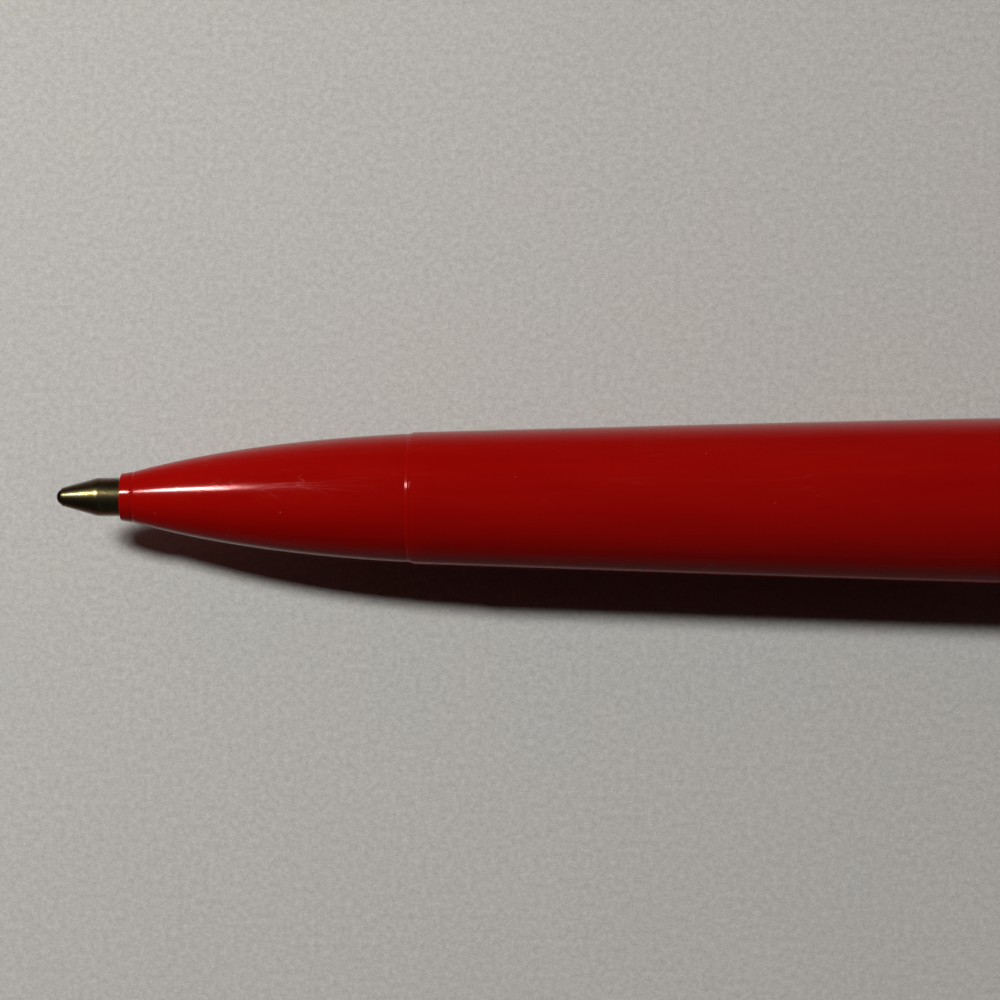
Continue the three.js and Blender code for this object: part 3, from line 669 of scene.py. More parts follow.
def mixed(factor, first, second, **settings):
    """A mix of two colours."""
    values = {"Factor": factor, "A": first, "B": second}
    return put(linked(factor, first, second), "ShaderNodeMix", values, data_type="RGBA", **settings)


def deep_red():
    """Glossy moulded plastic in deep red: long soft flow marks, hairline scratches and a little dust."""
    plain = {"IOR": 1.36, "Specular Tint": (1.0, 0.42, 0.4, 1)}
    material, shader, place = new_finish("deep_red_plastic", plain)
    flow = put(place, "ShaderNodeMapping", {"Vector": place, "Scale": (0.12, 1.0, 1.0)})
    bands = noise(flow, 700.0, 3.0, 0.55)
    tint = ramp(bands, (0.3, (0.216, 0.0013, 0.0006)), (0.7, (0.238, 0.002, 0.001)))
    marks = use_group(scratches, place, Lines_per_mm=1.1, Width=0.006, Patches=0.8)
    specks = use_group(dust_specks, place, Cells_per_mm=2.2, Share=0.02)
    gloss = rescaled(bands, 0.11, 0.15, 0.3, 0.7)
    height = maths("MULTIPLY_ADD", marks, -1.0, noise(place, 5200.0))
    fill(shader, {
        "Base Color": mixed(times(specks, 0.2), tint, (0.42, 0.16, 0.13, 1)),
        "Roughness": maths("MULTIPLY_ADD", marks, 0.3, gloss),
        "Normal": bumped(height, 0.35, 0.000004),
    })
    return material


red_plastic = deep_red()
bulge = (
    curve_start + (seam - curve_start) * 0.4,
    curve_start_radius + (nose_seam_radius - curve_start_radius) * 0.785,
)
nose_side = curve_points((curve_start, curve_start_radius), bulge, (seam, nose_seam_radius), 72)
# The rim at the seam dips and rises again: distances before the seam, and heights in parts of the flare.
seam_rim = ((0.3, -1), (0.24, -1), (0.22, -0.8), (0.15, 0), (0.11, 0.3), (0, 0.3))
thread_steps = [seam + 0.25 + 0.075 * step for step in range(87)]
nose_outline = rounded([
    (nose_face, nose_bore + 0.04, 0.02),
    (nose_face + 0.03, collar_radius, 0.06),
    (collar_end, collar_end_radius, 0.03),
    (collar_groove, collar_groove_radius, 0.04),
    (curve_start, curve_start_radius, 0.04),
    *[point for point in nose_side if point[0] < seam - 0.45],
    *[(seam - before, nose_seam_radius + flare * rise) for before, rise in seam_rim],
    (seam, thread_radius),
    *[(station, thread_radius) for station in thread_steps],
    (nose_rear, thread_radius, 0.15),
    (nose_rear, spigot_bore),
    (seam, spigot_bore),
    (spring_seat + 3, pocket_radius),
    (spring_seat, pocket_radius),
    (spring_seat, clear_bore),
    (nose_front + 2.8, clear_bore),
    (nose_front + 2.5, nose_bore),
    (nose_face, nose_bore),
])
nose = turned("nose_moulding", nose_outline, 192)
cut_thread(nose, thread_radius, seam + 0.3, nose_rear - 0.3, thread_depth)
dress(nose, red_plastic, "barrel_plastic", "nose", "nose_cone")

# Lower barrel. The same red ABS, swelling gently from the seam to the centre ring. The nose cone screws in at
# the front, and the bore at the back has two keyways for the guide sleeve.


def beside(node):
    """How far a CAD node reaches beside the pen's axis, in millimetres."""
    return (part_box(node)[1].y - axis_y) / mm


def corner_radius(reach, sides):
    """The radius of a CAD cylinder's corners, from the reach of its flat sides."""
    return reach / math.cos(math.pi / sides)


barrel_front_radius = 4.0
barrel_rear_radius = corner_radius(above("lower_barrel"), 40)
guide_radius = pin_reach + clearance
barrel_bore = thread_radius + 0.1
seat_radius = guide_radius + 0.1
sleeve_front, sleeve_rear = ends("guide_sleeve")
sleeve_seat = sleeve_front - 0.3
key_reach = beside("guide_sleeve")
key_half = 0.6
barrel_side = curve_points(
    (barrel_front, barrel_front_radius),
    (barrel_front + (barrel_rear - barrel_front) * 0.8, barrel_rear_radius),
    (barrel_rear, barrel_rear_radius),
    64,
)
barrel_outline = rounded([
    (barrel_front, barrel_front_radius, 0.02),
    *barrel_side,
    (barrel_rear, barrel_rear_radius, 0.06),
    (barrel_rear, seat_radius),
    (sleeve_seat, seat_radius),
    (sleeve_seat, seat_radius - 0.4),
    (nose_rear + 0.3, barrel_bore),
    *[(station, barrel_bore) for station in reversed(thread_steps)],
    (barrel_front, barrel_bore),
])
barrel = turned("barrel_moulding", barrel_outline, 192)
cut_thread(barrel, barrel_bore, barrel_front + 0.3, nose_rear, -thread_depth)
on_pen = Matrix.Translation((tip_x, axis_y, axis_z)) @ Matrix.Diagonal((mm, mm, mm, 1))


def solid(name, body):
    """A new object for a shape that is ready."""
    mesh = bpy.data.meshes.new(name)
    body.to_mesh(mesh)
    body.free()
    return link(name, mesh)


def box_tool(name, low, high, turn=0.0):
    """A plain box for cutting or joining, in millimetres: stations along the pen, then across it from its
    axis. It can be turned about the axis."""
    body = bmesh.new()
    bmesh.ops.create_cube(body, size=1)
    size = Vector(high) - Vector(low)
    middle = (Vector(high) + Vector(low)) / 2
    sized = Matrix.Translation(middle) @ Matrix.Diagonal((*size, 1))
    for matrix in (sized, Matrix.Rotation(turn, 4, "X"), on_pen):
        bmesh.ops.transform(body, matrix=matrix, verts=body.verts)
    return solid(name, body)


keyway_reach = key_reach + 0.1
keyway_half = key_half + clearance
keyway = box_tool(
    "keyway", (sleeve_seat, -keyway_reach, -keyway_half), (barrel_rear + 1, keyway_reach, keyway_half)
)
dress(combined(barrel, keyway), red_plastic, "barrel_plastic", "lower_half", "lower_barrel")

# Guide sleeve, cam, retaining clip and drag ring. The sleeve is keyed into the barrel, and its straight slots
# keep the cross pin from turning. The cam turns inside it with the upper half, and its helical slots move the
# pin. A C-shaped clip holds the two together, and a rubber ring in the cam's flange gives the twist its drag.
cam_bore = pusher_radius + clearance
cam_radius = cam_bore + 0.65
guide_bore = cam_radius + clearance
stroke = 5.0
slot_half = pin_radius + clearance
slot_front = pin_station - pin_radius - 2 * clearance
slot_rear = pin_station + stroke + pin_radius + 2 * clearance
sleeve_outline = rounded([
    (sleeve_front, guide_radius, 0.08),
    (sleeve_rear, guide_radius, 0.08),
    (sleeve_rear, guide_bore, 0.08),
    (sleeve_front, guide_bore, 0.08),
])
sleeve = turned("sleeve_moulding", sleeve_outline, 128)
for side in (-1, 1):
    edges = sorted((side * (guide_radius - 0.3), side * key_reach))
    key = box_tool("key", (sleeve_front, edges[0], -key_half), (sleeve_rear, edges[1], key_half))
    sleeve = combined(sleeve, key, "UNION")
straight_slot = box_tool("straight_slot", (slot_front, -slot_half, -5), (slot_rear, slot_half, 5))
dress(combined(sleeve, straight_slot), grey_acetal, "mechanism_plastic", "lower_half", "guide_sleeve")

flange_radius = corner_radius(above("twist_cam"), 32)
cam_front, cam_rear = ends("twist_cam")
clip_front, clip_rear = ends("retaining_clip")
groove_radius = cam_radius - 0.25
flange_front = sleeve_rear + 0.3
drag_station = middle_of("drag_ring")
seal_section = 0.42
seal_groove = 0.55
drag_floor = flange_radius + 0.075 - 2 * seal_section - 0.1


def lofted(name, rings, in_triangles=False):
    """A closed piece over rings of points, with a face on each end."""
    sides = len(rings[0])
    corners = [corner for ring in rings for corner in ring]
    faces = [tuple(range(sides))[::-1], tuple(range(len(corners) - sides, len(corners)))]
    for low in range(0, len(corners) - sides, sides):
        for side in range(sides):
            after = (side + 1) % sides
            faces.append((low + side, low + after, low + sides + after, low + sides + side))
    return shell(name, corners, faces, in_triangles)


def helical_slot(start):
    """A tool for one of the cam's slots: a strip with round ends, wrapped round the cam by half a turn."""
    inside = 1.2
    outside = 4.2
    wrap = (cam_bore + cam_radius) / 2
    length = math.hypot(wrap * math.pi, stroke)
    along = Vector((wrap * math.pi, stroke)) / length
    sideways = Vector((-along.y, along.x))
    turns = np.linspace(0.1, 1.5, 8)
    round_end = [(slot_half * math.cos(turn), slot_half * math.sin(turn)) for turn in turns]
    half_widths = [(-before, half) for before, half in round_end]
    half_widths += [(length * share, slot_half) for share in np.linspace(0, 1, 64)]
    half_widths += [(length + after, half) for after, half in reversed(round_end)]
    rings = []
    for distance, half in half_widths:
        ring = []
        for offset, radius in ((-half, inside), (half, inside), (half, outside), (-half, outside)):
            flat = along * distance + sideways * offset
            angle = start + flat.x / wrap
            place = Vector((pin_station + flat.y, radius * math.cos(angle), radius * math.sin(angle)))
            ring.append(place * mm + Vector((tip_x, axis_y, axis_z)))
        rings.append(ring)
    return lofted("helical_slot", rings, in_triangles=True)


cam_outline = rounded([
    (cam_rear - 2, 0),
    (cam_rear - 2, cam_bore, 0.2),
    (cam_front, cam_bore, 0.05),
    (cam_front, cam_radius - 0.15, 0.05),
    (clip_front - 0.1, cam_radius),
    (clip_front - 0.1, groove_radius),
    (clip_rear + 0.1, groove_radius),
    (clip_rear + 0.1, cam_radius),
    (flange_front, cam_radius, 0.15),
    (flange_front, flange_radius, 0.08),
    (drag_station - seal_groove, flange_radius, 0.04),
    (drag_station - seal_groove, drag_floor),
    (drag_station + seal_groove, drag_floor),
    (drag_station + seal_groove, flange_radius, 0.04),
    (cam_rear, flange_radius, 0.3),
    (cam_rear, 0),
])
cam = turned("cam_moulding", cam_outline, 128)
for start in (math.pi / 2, -math.pi / 2):
    cam = combined(cam, helical_slot(start))
dress(cam, red_plastic, "barrel_plastic", "upper_half", "twist_cam")


def flat_piece(name, outline, low, high, edge=0.0):
    """A flat piece cut to an outline of (x, y) points, between two heights, with its edges rounded."""
    body = bmesh.new()
    face = body.faces.new([body.verts.new((x, y, low)) for x, y in outline])
    made = bmesh.ops.extrude_face_region(body, geom=[face])["geom"]
    top = [vertex for vertex in made if isinstance(vertex, bmesh.types.BMVert)]
    bmesh.ops.translate(body, vec=(0, 0, high - low), verts=top)
    bmesh.ops.recalc_face_normals(body, faces=body.faces)
    if edge:
        rims = [border for border in body.edges if abs(border.verts[0].co.z - border.verts[1].co.z) < 1e-6]
        bmesh.ops.bevel(
            body, geom=rims, offset=edge, segments=2, profile=0.5, affect="EDGES", clamp_overlap=True
        )
    piece = solid(name, body)
    shade(piece.data)
    return piece


mouth = 0.9
inner = groove_radius + 0.05
outer = cam_radius + 0.45
arc = np.linspace(mouth, 2 * math.pi - mouth, 72)
c_outline = [(outer * math.cos(turn), outer * math.sin(turn)) for turn in arc]
c_outline += [(inner * math.cos(turn), inner * math.sin(turn)) for turn in reversed(arc)]
c_clip = flat_piece("c_clip", c_outline, clip_front, clip_rear, edge=0.05)
# The clip is drawn flat and then stood across the pen, with its mouth down.
stand = Matrix(((0, 0, 1, 0), (0, 1, 0, 0), (-1, 0, 0, 0), (0, 0, 0, 1)))
c_clip.data.transform(on_pen @ stand)
outward(c_clip.data)
dress(c_clip, steel_wire, "spring_steel", "upper_half", "retaining_clip")


def black_rubber():
    """Matt black nitrile rubber, a little greasy."""
    material, shader, place = new_finish("black_rubber", {"Base Color": (0.012, 0.012, 0.012, 1)})
    fill(shader, {"Roughness": rescaled(noise(place, 1500.0, 3.0), 0.35, 0.75)})
    return material


rubber = black_rubber()


def o_ring(name, node):
    """An O-ring of the size of its CAD node."""
    middle = middle_of(node)
    reach = beside(node) - seal_section
    outline = [
        (middle + seal_section * math.cos(turn), reach + seal_section * math.sin(turn))
        for turn in np.linspace(0, 2 * math.pi, 24, endpoint=False)
    ]
    dress(turned(name, outline, 128), rubber, "seal_rubber", "upper_half", node)


o_ring("drag_o_ring", "drag_ring")

# Centre ring. A brass ring, turned, polished and chromium plated, that trims the joint between the halves.
# The pen rests on it and on the cap.
ring_radius = (ring_high.z - ring_low.z) / 2 / mm
ring_bore = flange_radius + 0.1
ring_front, ring_rear = ends("centre_ring")


def bright_chrome(name, marks_per_mm):
    """Plated and polished metal with hairline scratches, a trace of polishing marks and finger grease."""
    material, shader, place = new_finish(name, {"Metallic": 1.0, "Base Color": (0.66, 0.67, 0.68, 1)})
    gloss = rescaled(noise(place, 350.0, 3.0), 0.05, 0.16, 0.4, 0.7)
    marks = use_group(tool_marks, place, Grooves_per_mm=marks_per_mm)
    scuffs = use_group(scratches, place, Lines_per_mm=1.6, Width=0.008, Patches=0.7)
    fill(shader, {
        "Roughness": maths("MULTIPLY_ADD", scuffs, 0.2, gloss),
        "Normal": bumped(maths("MULTIPLY_ADD", scuffs, -1.5, marks), 0.2, 0.000003),
    })
    return material


groove_half = 0.12
groove_depth = 0.12
ring_middle = middle_of("centre_ring")
ring_grooves = [
    (ring_middle + offset + edge * groove_half, ring_radius - groove_depth * (1 - abs(edge)), 0.05)
    for offset in (-0.42, 0.42)
    for edge in (-1, 0, 1)
]
ring_outline = rounded([
    (ring_front, ring_radius, 0.28),
    *ring_grooves,
    (ring_rear, ring_radius, 0.28),
    (ring_rear, ring_bore),
    (ring_front, ring_bore),
])
trim_ring = turned("trim_ring", ring_outline, 256)
dress(trim_ring, bright_chrome("ring_chrome", 12.0), "ring_chrome", "upper_half", "centre_ring")

# Float tube and oil. The tube is clear cast acrylic with a polished bore, full of mineral oil. Oil and
# acrylic bend light alike, so the bore and the oil can't be seen: the whole tube works as one magnifying rod.
float_front, float_rear = ends("clear_tube")
float_radius = corner_radius(above("clear_tube"), 40)
float_bore = float_radius - 1.2


def clear_acrylic():
    """Water-clear acrylic with hairline scratches."""
    plain = {"Base Color": (0.97, 0.985, 0.98, 1), "Transmission Weight": 1.0, "IOR": 1.49}
    material, shader, place = new_finish("clear_acrylic", plain)
    marks = use_group(scratches, place, Lines_per_mm=1.2, Width=0.004, Patches=0.6)
    fill(shader, {"Roughness": times(marks, 0.12)})
    return material


def unseen_in_oil(name, alpha):
    """A clear surface wetted by the oil, which shows only as a faint cool tint."""
    plain = {"Base Color": (0.75, 0.85, 0.83, 1), "Roughness": 0.6, "IOR": 1.0}
    material, shader, place = new_finish(name, plain)
    fill(shader, {"Alpha": rescaled(noise(place, 300.0), alpha * 0.6, alpha * 1.4)})
    return material


tube_outline = rounded([
    (float_front, float_radius, 0.2),
    *[(float_front + 2 + 5 * step, float_radius) for step in range(12)],
    (float_rear, float_radius, 0.2),
    (float_rear, float_bore),
    (float_front, float_bore),
])
float_tube = turned("float_tube", tube_outline, 256)
float_tube.data.materials.append(clear_acrylic())
float_tube.data.materials.append(unseen_in_oil("wetted_bore", 0.004))
for face in float_tube.data.polygons:
    distance = math.hypot(face.center.y - axis_y, face.center.z - axis_z) / mm
    face.material_index = 1 if distance < float_bore + 0.05 else 0
dress(float_tube, None, "clear_acrylic", "upper_half", "clear_tube")
oil_front, oil_rear = ends("oil_front")
oil_radius = float_bore - 0.04
oil_outline = rounded([
    (oil_front, 0), (oil_front, oil_radius, 0.05), (oil_rear, oil_radius, 0.05), (oil_rear, 0),
])
oil = turned("chamber_oil", oil_outline, 128)
dress(oil, unseen_in_oil("mineral_oil", 0.004), "oil", "upper_half", "oil_front", "oil_rear")
# Lamps shine straight through the tube and the oil onto what they hold.
float_tube.visible_shadow = False
oil.visible_shadow = False

# Plugs and seals. White moulded plugs close the ends of the float chamber, each with an O-ring in a groove. A
# slot across the inner face of each holds the ends of the two films.
plug_radius = float_bore - 0.1
seal_floor = float_bore - 0.94
white_plastic = acetal("white_plastic", (0.8, 0.79, 0.74))
slot_height = above("front_film") + 0.15
slot_side = 4
slot_depth = 1.1


def plug(name, node, seal_node, seal_name, inner_end):
    """A plug with its seal. inner_end is -1 or 1, the end that faces the oil."""
    low, high = ends(node)
    seal = middle_of(seal_node)
    outline = rounded([
        (low, 0),
        (low, plug_radius, 0.1),
        (seal - seal_groove, plug_radius, 0.05),
        (seal - seal_groove, seal_floor),
        (seal + seal_groove, seal_floor),
        (seal + seal_groove, plug_radius, 0.05),
        (high, plug_radius, 0.1),
        (high, 0),
    ])
    inner_face = high if inner_end > 0 else low
    start, end = sorted((inner_face - inner_end * slot_depth, inner_face + inner_end))
    slot = box_tool("film_slot", (start, -slot_side, -slot_height), (end, slot_side, slot_height))
    dress(combined(turned(name, outline, 128), slot), white_plastic, "plug_plastic", "upper_half", node)
    o_ring(seal_name, seal_node)


plug("lower_plug_moulding", "lower_plug", "lower_seal", "lower_o_ring", 1)
plug("upper_plug_moulding", "upper_plug", "upper_seal", "upper_o_ring", -1)

# Backdrop film. A strip of clear film, screen printed with a bay: sky, far hills, a headland with a light
# tower, a row of small houses and the open sea. Each ink is a thin layer over the one before.
chamber_middle = (oil_front + oil_rear) / 2
half_length = (oil_rear - oil_front) / 2
film_low, film_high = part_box("backdrop_film")
film_half = beside("front_film")
film_length = (film_high.x - film_low.x) / mm
backdrop_top = above("backdrop_film")
layer = 0.012
horizon = -0.25
inks = {}


def in_chamber(piece):
    """Moves a flat piece drawn in millimetres about the chamber's middle to its place in the pen."""
    to_chamber = Matrix.Translation((tip_x + chamber_middle * mm, axis_y, axis_z))
    piece.data.transform(to_chamber @ Matrix.Diagonal((mm, mm, mm, 1)))
    return piece


def dots_group():
    """The dots of a screen print: small and even, a little lighter and darker than the ink."""
    tree, given, result = new_group("print_dots", {"Dots per mm": 7.0}, "Tone")
    scale = times(given["Dots per mm"], 1 / mm)
    cells = put(tree, "ShaderNodeTexVoronoi", {"Vector": given["Vector"], "Scale": scale, "Randomness": 0.15})
    fill(result, {"Tone": rescaled(cells.outputs["Distance"], 0.9, 1.05, 0.15, 0.55)})
    return tree


print_dots = dots_group()


def screened(place, colour):
    """A colour with the tone of the print's dots."""
    return mixed(1.0, colour, use_group(print_dots, place), blend_type="MULTIPLY")


def ink(name, colour=None):
    """A flat printing ink with a faint screen of dots. Each ink is made once, and then used by its name."""
    if name not in inks:
        material, shader, place = new_finish("ink_" + name, {"Roughness": 0.45, "IOR": 1.3})
        fill(shader, {"Base Color": screened(place, (*colour, 1))})
        inks[name] = material
    return inks[name]


def sky_and_sea():
    """The ground of the print: a sky that pales to the horizon, and a sea that deepens towards the front."""
    material, shader, place = new_finish("sky_and_sea", {"Roughness": 0.45, "IOR": 1.3})
    across = put(place, "ShaderNodeSeparateXYZ", {"Vector": place}).outputs["Y"]
    level = rescaled(across, 0.0, 1.0, axis_y - film_half * mm, axis_y + film_half * mm)
    middle = (horizon + film_half) / (2 * film_half)
    bands = (
        (0.0, (0.01, 0.09, 0.2)),
        (middle - 0.2, (0.015, 0.2, 0.33)),
        (middle - 0.01, (0.1, 0.42, 0.5)),
        (middle + 0.01, (0.86, 0.8, 0.62)),
        (middle + 0.16, (0.5, 0.72, 0.82)),
        (1.0, (0.09, 0.32, 0.62)),
    )
    fill(shader, {"Base Color": screened(place, ramp(level, *bands))})
    return material


def oblong(left, bottom, right, top):
    """The outline of an upright rectangle."""
    return [(left, bottom), (right, bottom), (right, top), (left, top)]


film_corners = oblong(-film_length / 2, -film_half, film_length / 2, film_half)
sea_film = flat_piece("sea_film", film_corners, (film_low.z - axis_z) / mm, backdrop_top, edge=0.03)
dress(in_chamber(sea_film), sky_and_sea(), "backdrop_print", "upper_half", "backdrop_film")


def ridge(start, end, heights, base):
    """The outline of a range of hills: a smooth line through evenly spaced heights over a level base."""
    points = [(start, base)]
    count = (len(heights) - 1) * 10
    for step in range(count + 1):
        share = step / count * (len(heights) - 1)
        index = min(int(share), len(heights) - 2)
        part = ease(share - index)
        height = heights[index] * (1 - part) + heights[index + 1] * part
        points.append((start + (end - start) * step / count, base + height))
    points.append((end, base))
    return points[::-1]


def printed(name, outline, level, material, body="upper_half", slot="backdrop_print", base=backdrop_top):
    """One ink layer of a print, level layers above the film."""
    low = base + layer * (level - 0.5)
    piece = in_chamber(flat_piece(name, outline, low, low + layer * 1.5))
    outward(piece.data)
    dress(piece, material, slot, body)


sun_radius = 0.68
sun_flatness = 0.72
sun_turns = np.linspace(0, 2 * math.pi, 40, endpoint=False)
sun = [
    (-4.5 + sun_radius * math.cos(turn), 2.0 + sun_flatness * sun_radius * math.sin(turn))
    for turn in sun_turns
]
printed("print_sun", sun, 1, ink("sun", (0.95, 0.78, 0.3)))
shore_end = half_length - 0.2
far_heights = (0.1, 0.55, 0.35, 0.9, 0.5, 0.75, 0.3, 0.15, 0.4, 0.8, 0.55, 1.0, 0.6, 0.35, 0.2)
far_hills = ridge(-shore_end, shore_end, far_heights, horizon)
printed("print_far_hills", far_hills, 1, ink("far_hills", (0.25, 0.42, 0.5)))
headland = ridge(-shore_end, -half_length + 11, (0.9, 1.35, 1.1, 0.75, 0.3, 0.05), horizon - 0.25)
printed("print_headland", headland, 2, ink("grass", (0.14, 0.32, 0.12)))
shore = ridge(half_length - 16, shore_end, (0.05, 0.3, 0.45, 0.4, 0.5, 0.35, 0.45), horizon - 0.35)
printed("print_shore", shore, 2, ink("grass"))

# Small clouds: each is three overlapping puffs on a flat foot.
for index, (x, y, size) in enumerate(((-14.5, 2.15, 0.9), (4.5, 2.45, 0.75), (15.0, 2.1, 0.85))):
    puffs = []
    for turn in np.linspace(0, math.pi, 37):
        swell = 1 + 0.16 * abs(math.sin(3 * turn))
        puffs.append((x + 1.7 * size * swell * math.cos(turn), y + 0.5 * size * swell * math.sin(turn)))
    printed(f"print_cloud_{index + 1}", puffs, 1, ink("cloud", (0.93, 0.92, 0.88)))

# The light tower: a tapering white shaft with two brick bands, a lantern and its hood.
tower_x = -half_length + 3.4
tower_foot = horizon + 0.85
tower_height = 2.3
tower_half = 0.36
tower_top_half = 0.24
shaft_share = 0.78
shaft_top = tower_foot + tower_height * shaft_share
lantern_top = tower_foot + tower_height * 0.9
tower_outline = [
    (tower_x - tower_half, tower_foot),
    (tower_x + tower_half, tower_foot),
    (tower_x + tower_top_half, shaft_top),
    (tower_x - tower_top_half, shaft_top),
]
printed("print_tower", tower_outline, 3, ink("white", (0.9, 0.88, 0.82)))
for index, share in enumerate((0.12, 0.45)):
    band_low = tower_foot + tower_height * share
    width = tower_half - (tower_half - tower_top_half) * share / shaft_share
    band = oblong(tower_x - width, band_low, tower_x + width, band_low + tower_height * 0.16)
    printed(f"print_tower_band_{index + 1}", band, 4, ink("brick", (0.5, 0.07, 0.04)))
printed("print_lantern", oblong(tower_x - 0.17, shaft_top, tower_x + 0.17, lantern_top), 3, ink("sun"))
hood = [(tower_x - 0.28, lantern_top), (tower_x + 0.28, lantern_top), (tower_x, tower_foot + tower_height)]
printed("print_lantern_hood", hood, 3, ink("brick"))

# The houses: an ink, a width and a height for each.
houses = (
    ("ochre", (0.72, 0.45, 0.12), 1.5, 1.15),
    ("cream", (0.85, 0.78, 0.58), 1.25, 1.5),
    ("terracotta", (0.6, 0.2, 0.1), 1.6, 1.25),
    ("slate_blue", (0.22, 0.36, 0.5), 1.35, 1.6),
    ("rose", (0.75, 0.42, 0.38), 1.5, 1.2),
    ("white", None, 1.2, 1.4),
)
house_foot = horizon + 0.02
row_start = half_length - 13.2
house_gap = 0.22
house_x = row_start
for index, (colour_name, colour, width, height) in enumerate(houses):
    wall_top = house_foot + height
    walls = oblong(house_x, house_foot, house_x + width, wall_top)
    ridge_point = (house_x + width / 2, wall_top + 0.62)
    gable = [(house_x - 0.1, wall_top), (house_x + width + 0.1, wall_top), ridge_point]
    printed(f"print_walls_{index + 1}", walls, 3, ink(colour_name, colour))
    printed(f"print_roof_{index + 1}", gable, 3, ink("roof", (0.2, 0.08, 0.05)))
    house_x += width + house_gap


def window_tree(sizes, material):
    """Rows of small panes over the house fronts."""
    tree, size, result = geometry_tree("window_panes", sizes)

    def joined(*labels):
        """Three of the sizes as one vector."""
        return put(tree, "ShaderNodeCombineXYZ", {axis: size[label] for axis, label in zip("XYZ", labels)})

    grid = put(tree, "GeometryNodeMeshGrid", {
        "Size X": size["Row Length"],
        "Size Y": size["Row Height"],
        "Vertices X": size["Columns"],
        "Vertices Y": size["Rows"],
    })
    pane = put(tree, "GeometryNodeMeshCube", {"Size": joined("Pane Width", "Pane Height", "Thickness")})
    spread = put(tree, "GeometryNodeInstanceOnPoints", {"Points": grid, "Instance": pane})
    middle = joined("Middle X", "Middle Y", "Middle Z")
    moved = put(tree, "GeometryNodeTransform", {"Geometry": spread, "Translation": middle})
    end_tree(tree, result, moved, material)
    return tree


pane_sizes = {
    "Columns": 15,
    "Rows": 2,
    "Row Length": 8.9,
    "Row Height": 0.5,
    "Pane Width": 0.2,
    "Pane Height": 0.26,
    "Thickness": layer,
    "Middle X": (row_start + house_x - house_gap) / 2,
    "Middle Y": house_foot + 0.62,
    "Middle Z": backdrop_top + layer * 4.2,
}
dark_ink = ink("window", (0.06, 0.09, 0.12))
panes = in_chamber(grown("print_windows", window_tree(pane_sizes, dark_ink), pane_sizes))
dress(panes, dark_ink, "backdrop_print", "upper_half")

gull_places = ((-9.5, 2.35, 0.42), (-8.1, 2.0, 0.32), (0.8, 1.75, 0.38), (9.6, 2.75, 0.36), (11.0, 2.5, 0.3))
for index, (x, y, size) in enumerate(gull_places):
    upper = []
    lower = []
    for share in np.linspace(-1, 1, 25):
        wing = y + 0.34 * size * abs(math.sin(math.pi * share))
        upper.append((x + size * share, wing))
        lower.append((x + size * share, wing - 0.1 * size * (1.1 - abs(share)) - 0.02))
    printed(f"print_gull_{index + 1}", lower[::-1] + upper, 1, dark_ink)

# Front film. A second strip of clear film, in front of the float's path, with waves printed along its foot,
# so the boat sails behind them.
front_low = (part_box("front_film")[0].z - axis_z) / mm
front_high = above("front_film")
wave_film = in_chamber(flat_piece("wave_film", film_corners, front_low, front_high, edge=0.03))
dress(wave_film, unseen_in_oil("clear_film", 0.015), "front_print", "upper_half", "front_film")
wave_film.visible_shadow = False


def wave_strip(crest, height, period, shift):
    """The outline of a row of waves with pointed crests, along the whole chamber."""
    end = half_length - 0.1
    foot = -film_half + 0.04
    points = []
    for x in np.linspace(-end, end, 460):
        phase = ((x + shift) / period) % 1
        points.append((x, crest - height * (1 - abs(2 * phase - 1) ** 1.7)))
    return [(-end, foot), (end, foot)] + points[::-1]


wave_rows = (
    ("foam", -2.15, 0.34, 2.3, 0.0, (0.82, 0.9, 0.9)),
    ("shallow", -2.27, 0.34, 2.3, 0.0, (0.06, 0.36, 0.45)),
    ("deep", -2.75, 0.3, 1.9, 0.8, (0.02, 0.17, 0.3)),
)
for level, (name, crest, height, period, shift, colour) in enumerate(wave_rows, 1):
    strip = wave_strip(crest, height, period, shift)
    wave_ink = ink("wave_" + name, colour)
    printed(f"print_waves_{name}", strip, level, wave_ink, slot="front_print", base=front_high)

# Floater. A little sailing boat cut from flat film and printed on both faces. It drifts from end to end as
# the pen is tipped.
float_low, float_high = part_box("floater")
hull_half = (float_high.x - float_low.x) / 2 / mm
keel = (float_low.y - axis_y) / mm
deck = -1.5
foot = deck + 0.35
sail_height = 3.6
peak = foot + sail_height
mast = 0.25
face_height = (float_high.z - float_low.z) / mm / 2


def bend(start, control, end):
    """A quadratic curve's points with its end, to follow a corner that is already drawn."""
    return curve_points(start, control, end, 12) + [end]


main_sail = [(mast, foot), (hull_half * 0.75, foot)]
main_sail += bend((hull_half * 0.75, foot), (hull_half * 0.45, foot + sail_height * 0.55), (mast, peak))
jib = [(-mast, peak)]
jib += bend((-mast, peak + 0.3), (-hull_half * 0.3, foot + sail_height * 0.5), (-hull_half * 0.7, foot))
jib += [(-mast, foot)]
hull = [(-hull_half, deck)]
hull += bend((-hull_half, deck), (-hull_half * 0.62, keel), (0, keel))
hull += bend((hull_half * 0.62, keel), (hull_half * 0.9, keel), (hull_half, deck))
boat_outline = hull + [(mast, deck)] + main_sail + [(-mast, peak + 0.35)] + jib[1:] + [(-mast, deck)]
card = in_chamber(flat_piece("boat_cut_out", boat_outline, -face_height, face_height, edge=0.04))
outward(card.data)
dress(card, ink("card", (0.86, 0.84, 0.76)), "floater_print", "float", "floater")


def shrunk(outline, amount):
    """An outline drawn in towards its middle, so that a printed patch stays inside the cut edge."""
    middle = sum((Vector(point) for point in outline), Vector((0, 0))) / len(outline)
    inner_points = []
    for point in outline:
        inward = middle - Vector(point)
        inner_points.append(tuple(Vector(point) + inward.normalized() * min(amount, inward.length / 2)))
    return inner_points


def on_boat(name, outline, level, material, base=face_height - layer):
    """One ink layer on the boat, on its front face unless another base is given."""
    printed("boat_" + name, outline, level, material, "float", "floater_print", base)


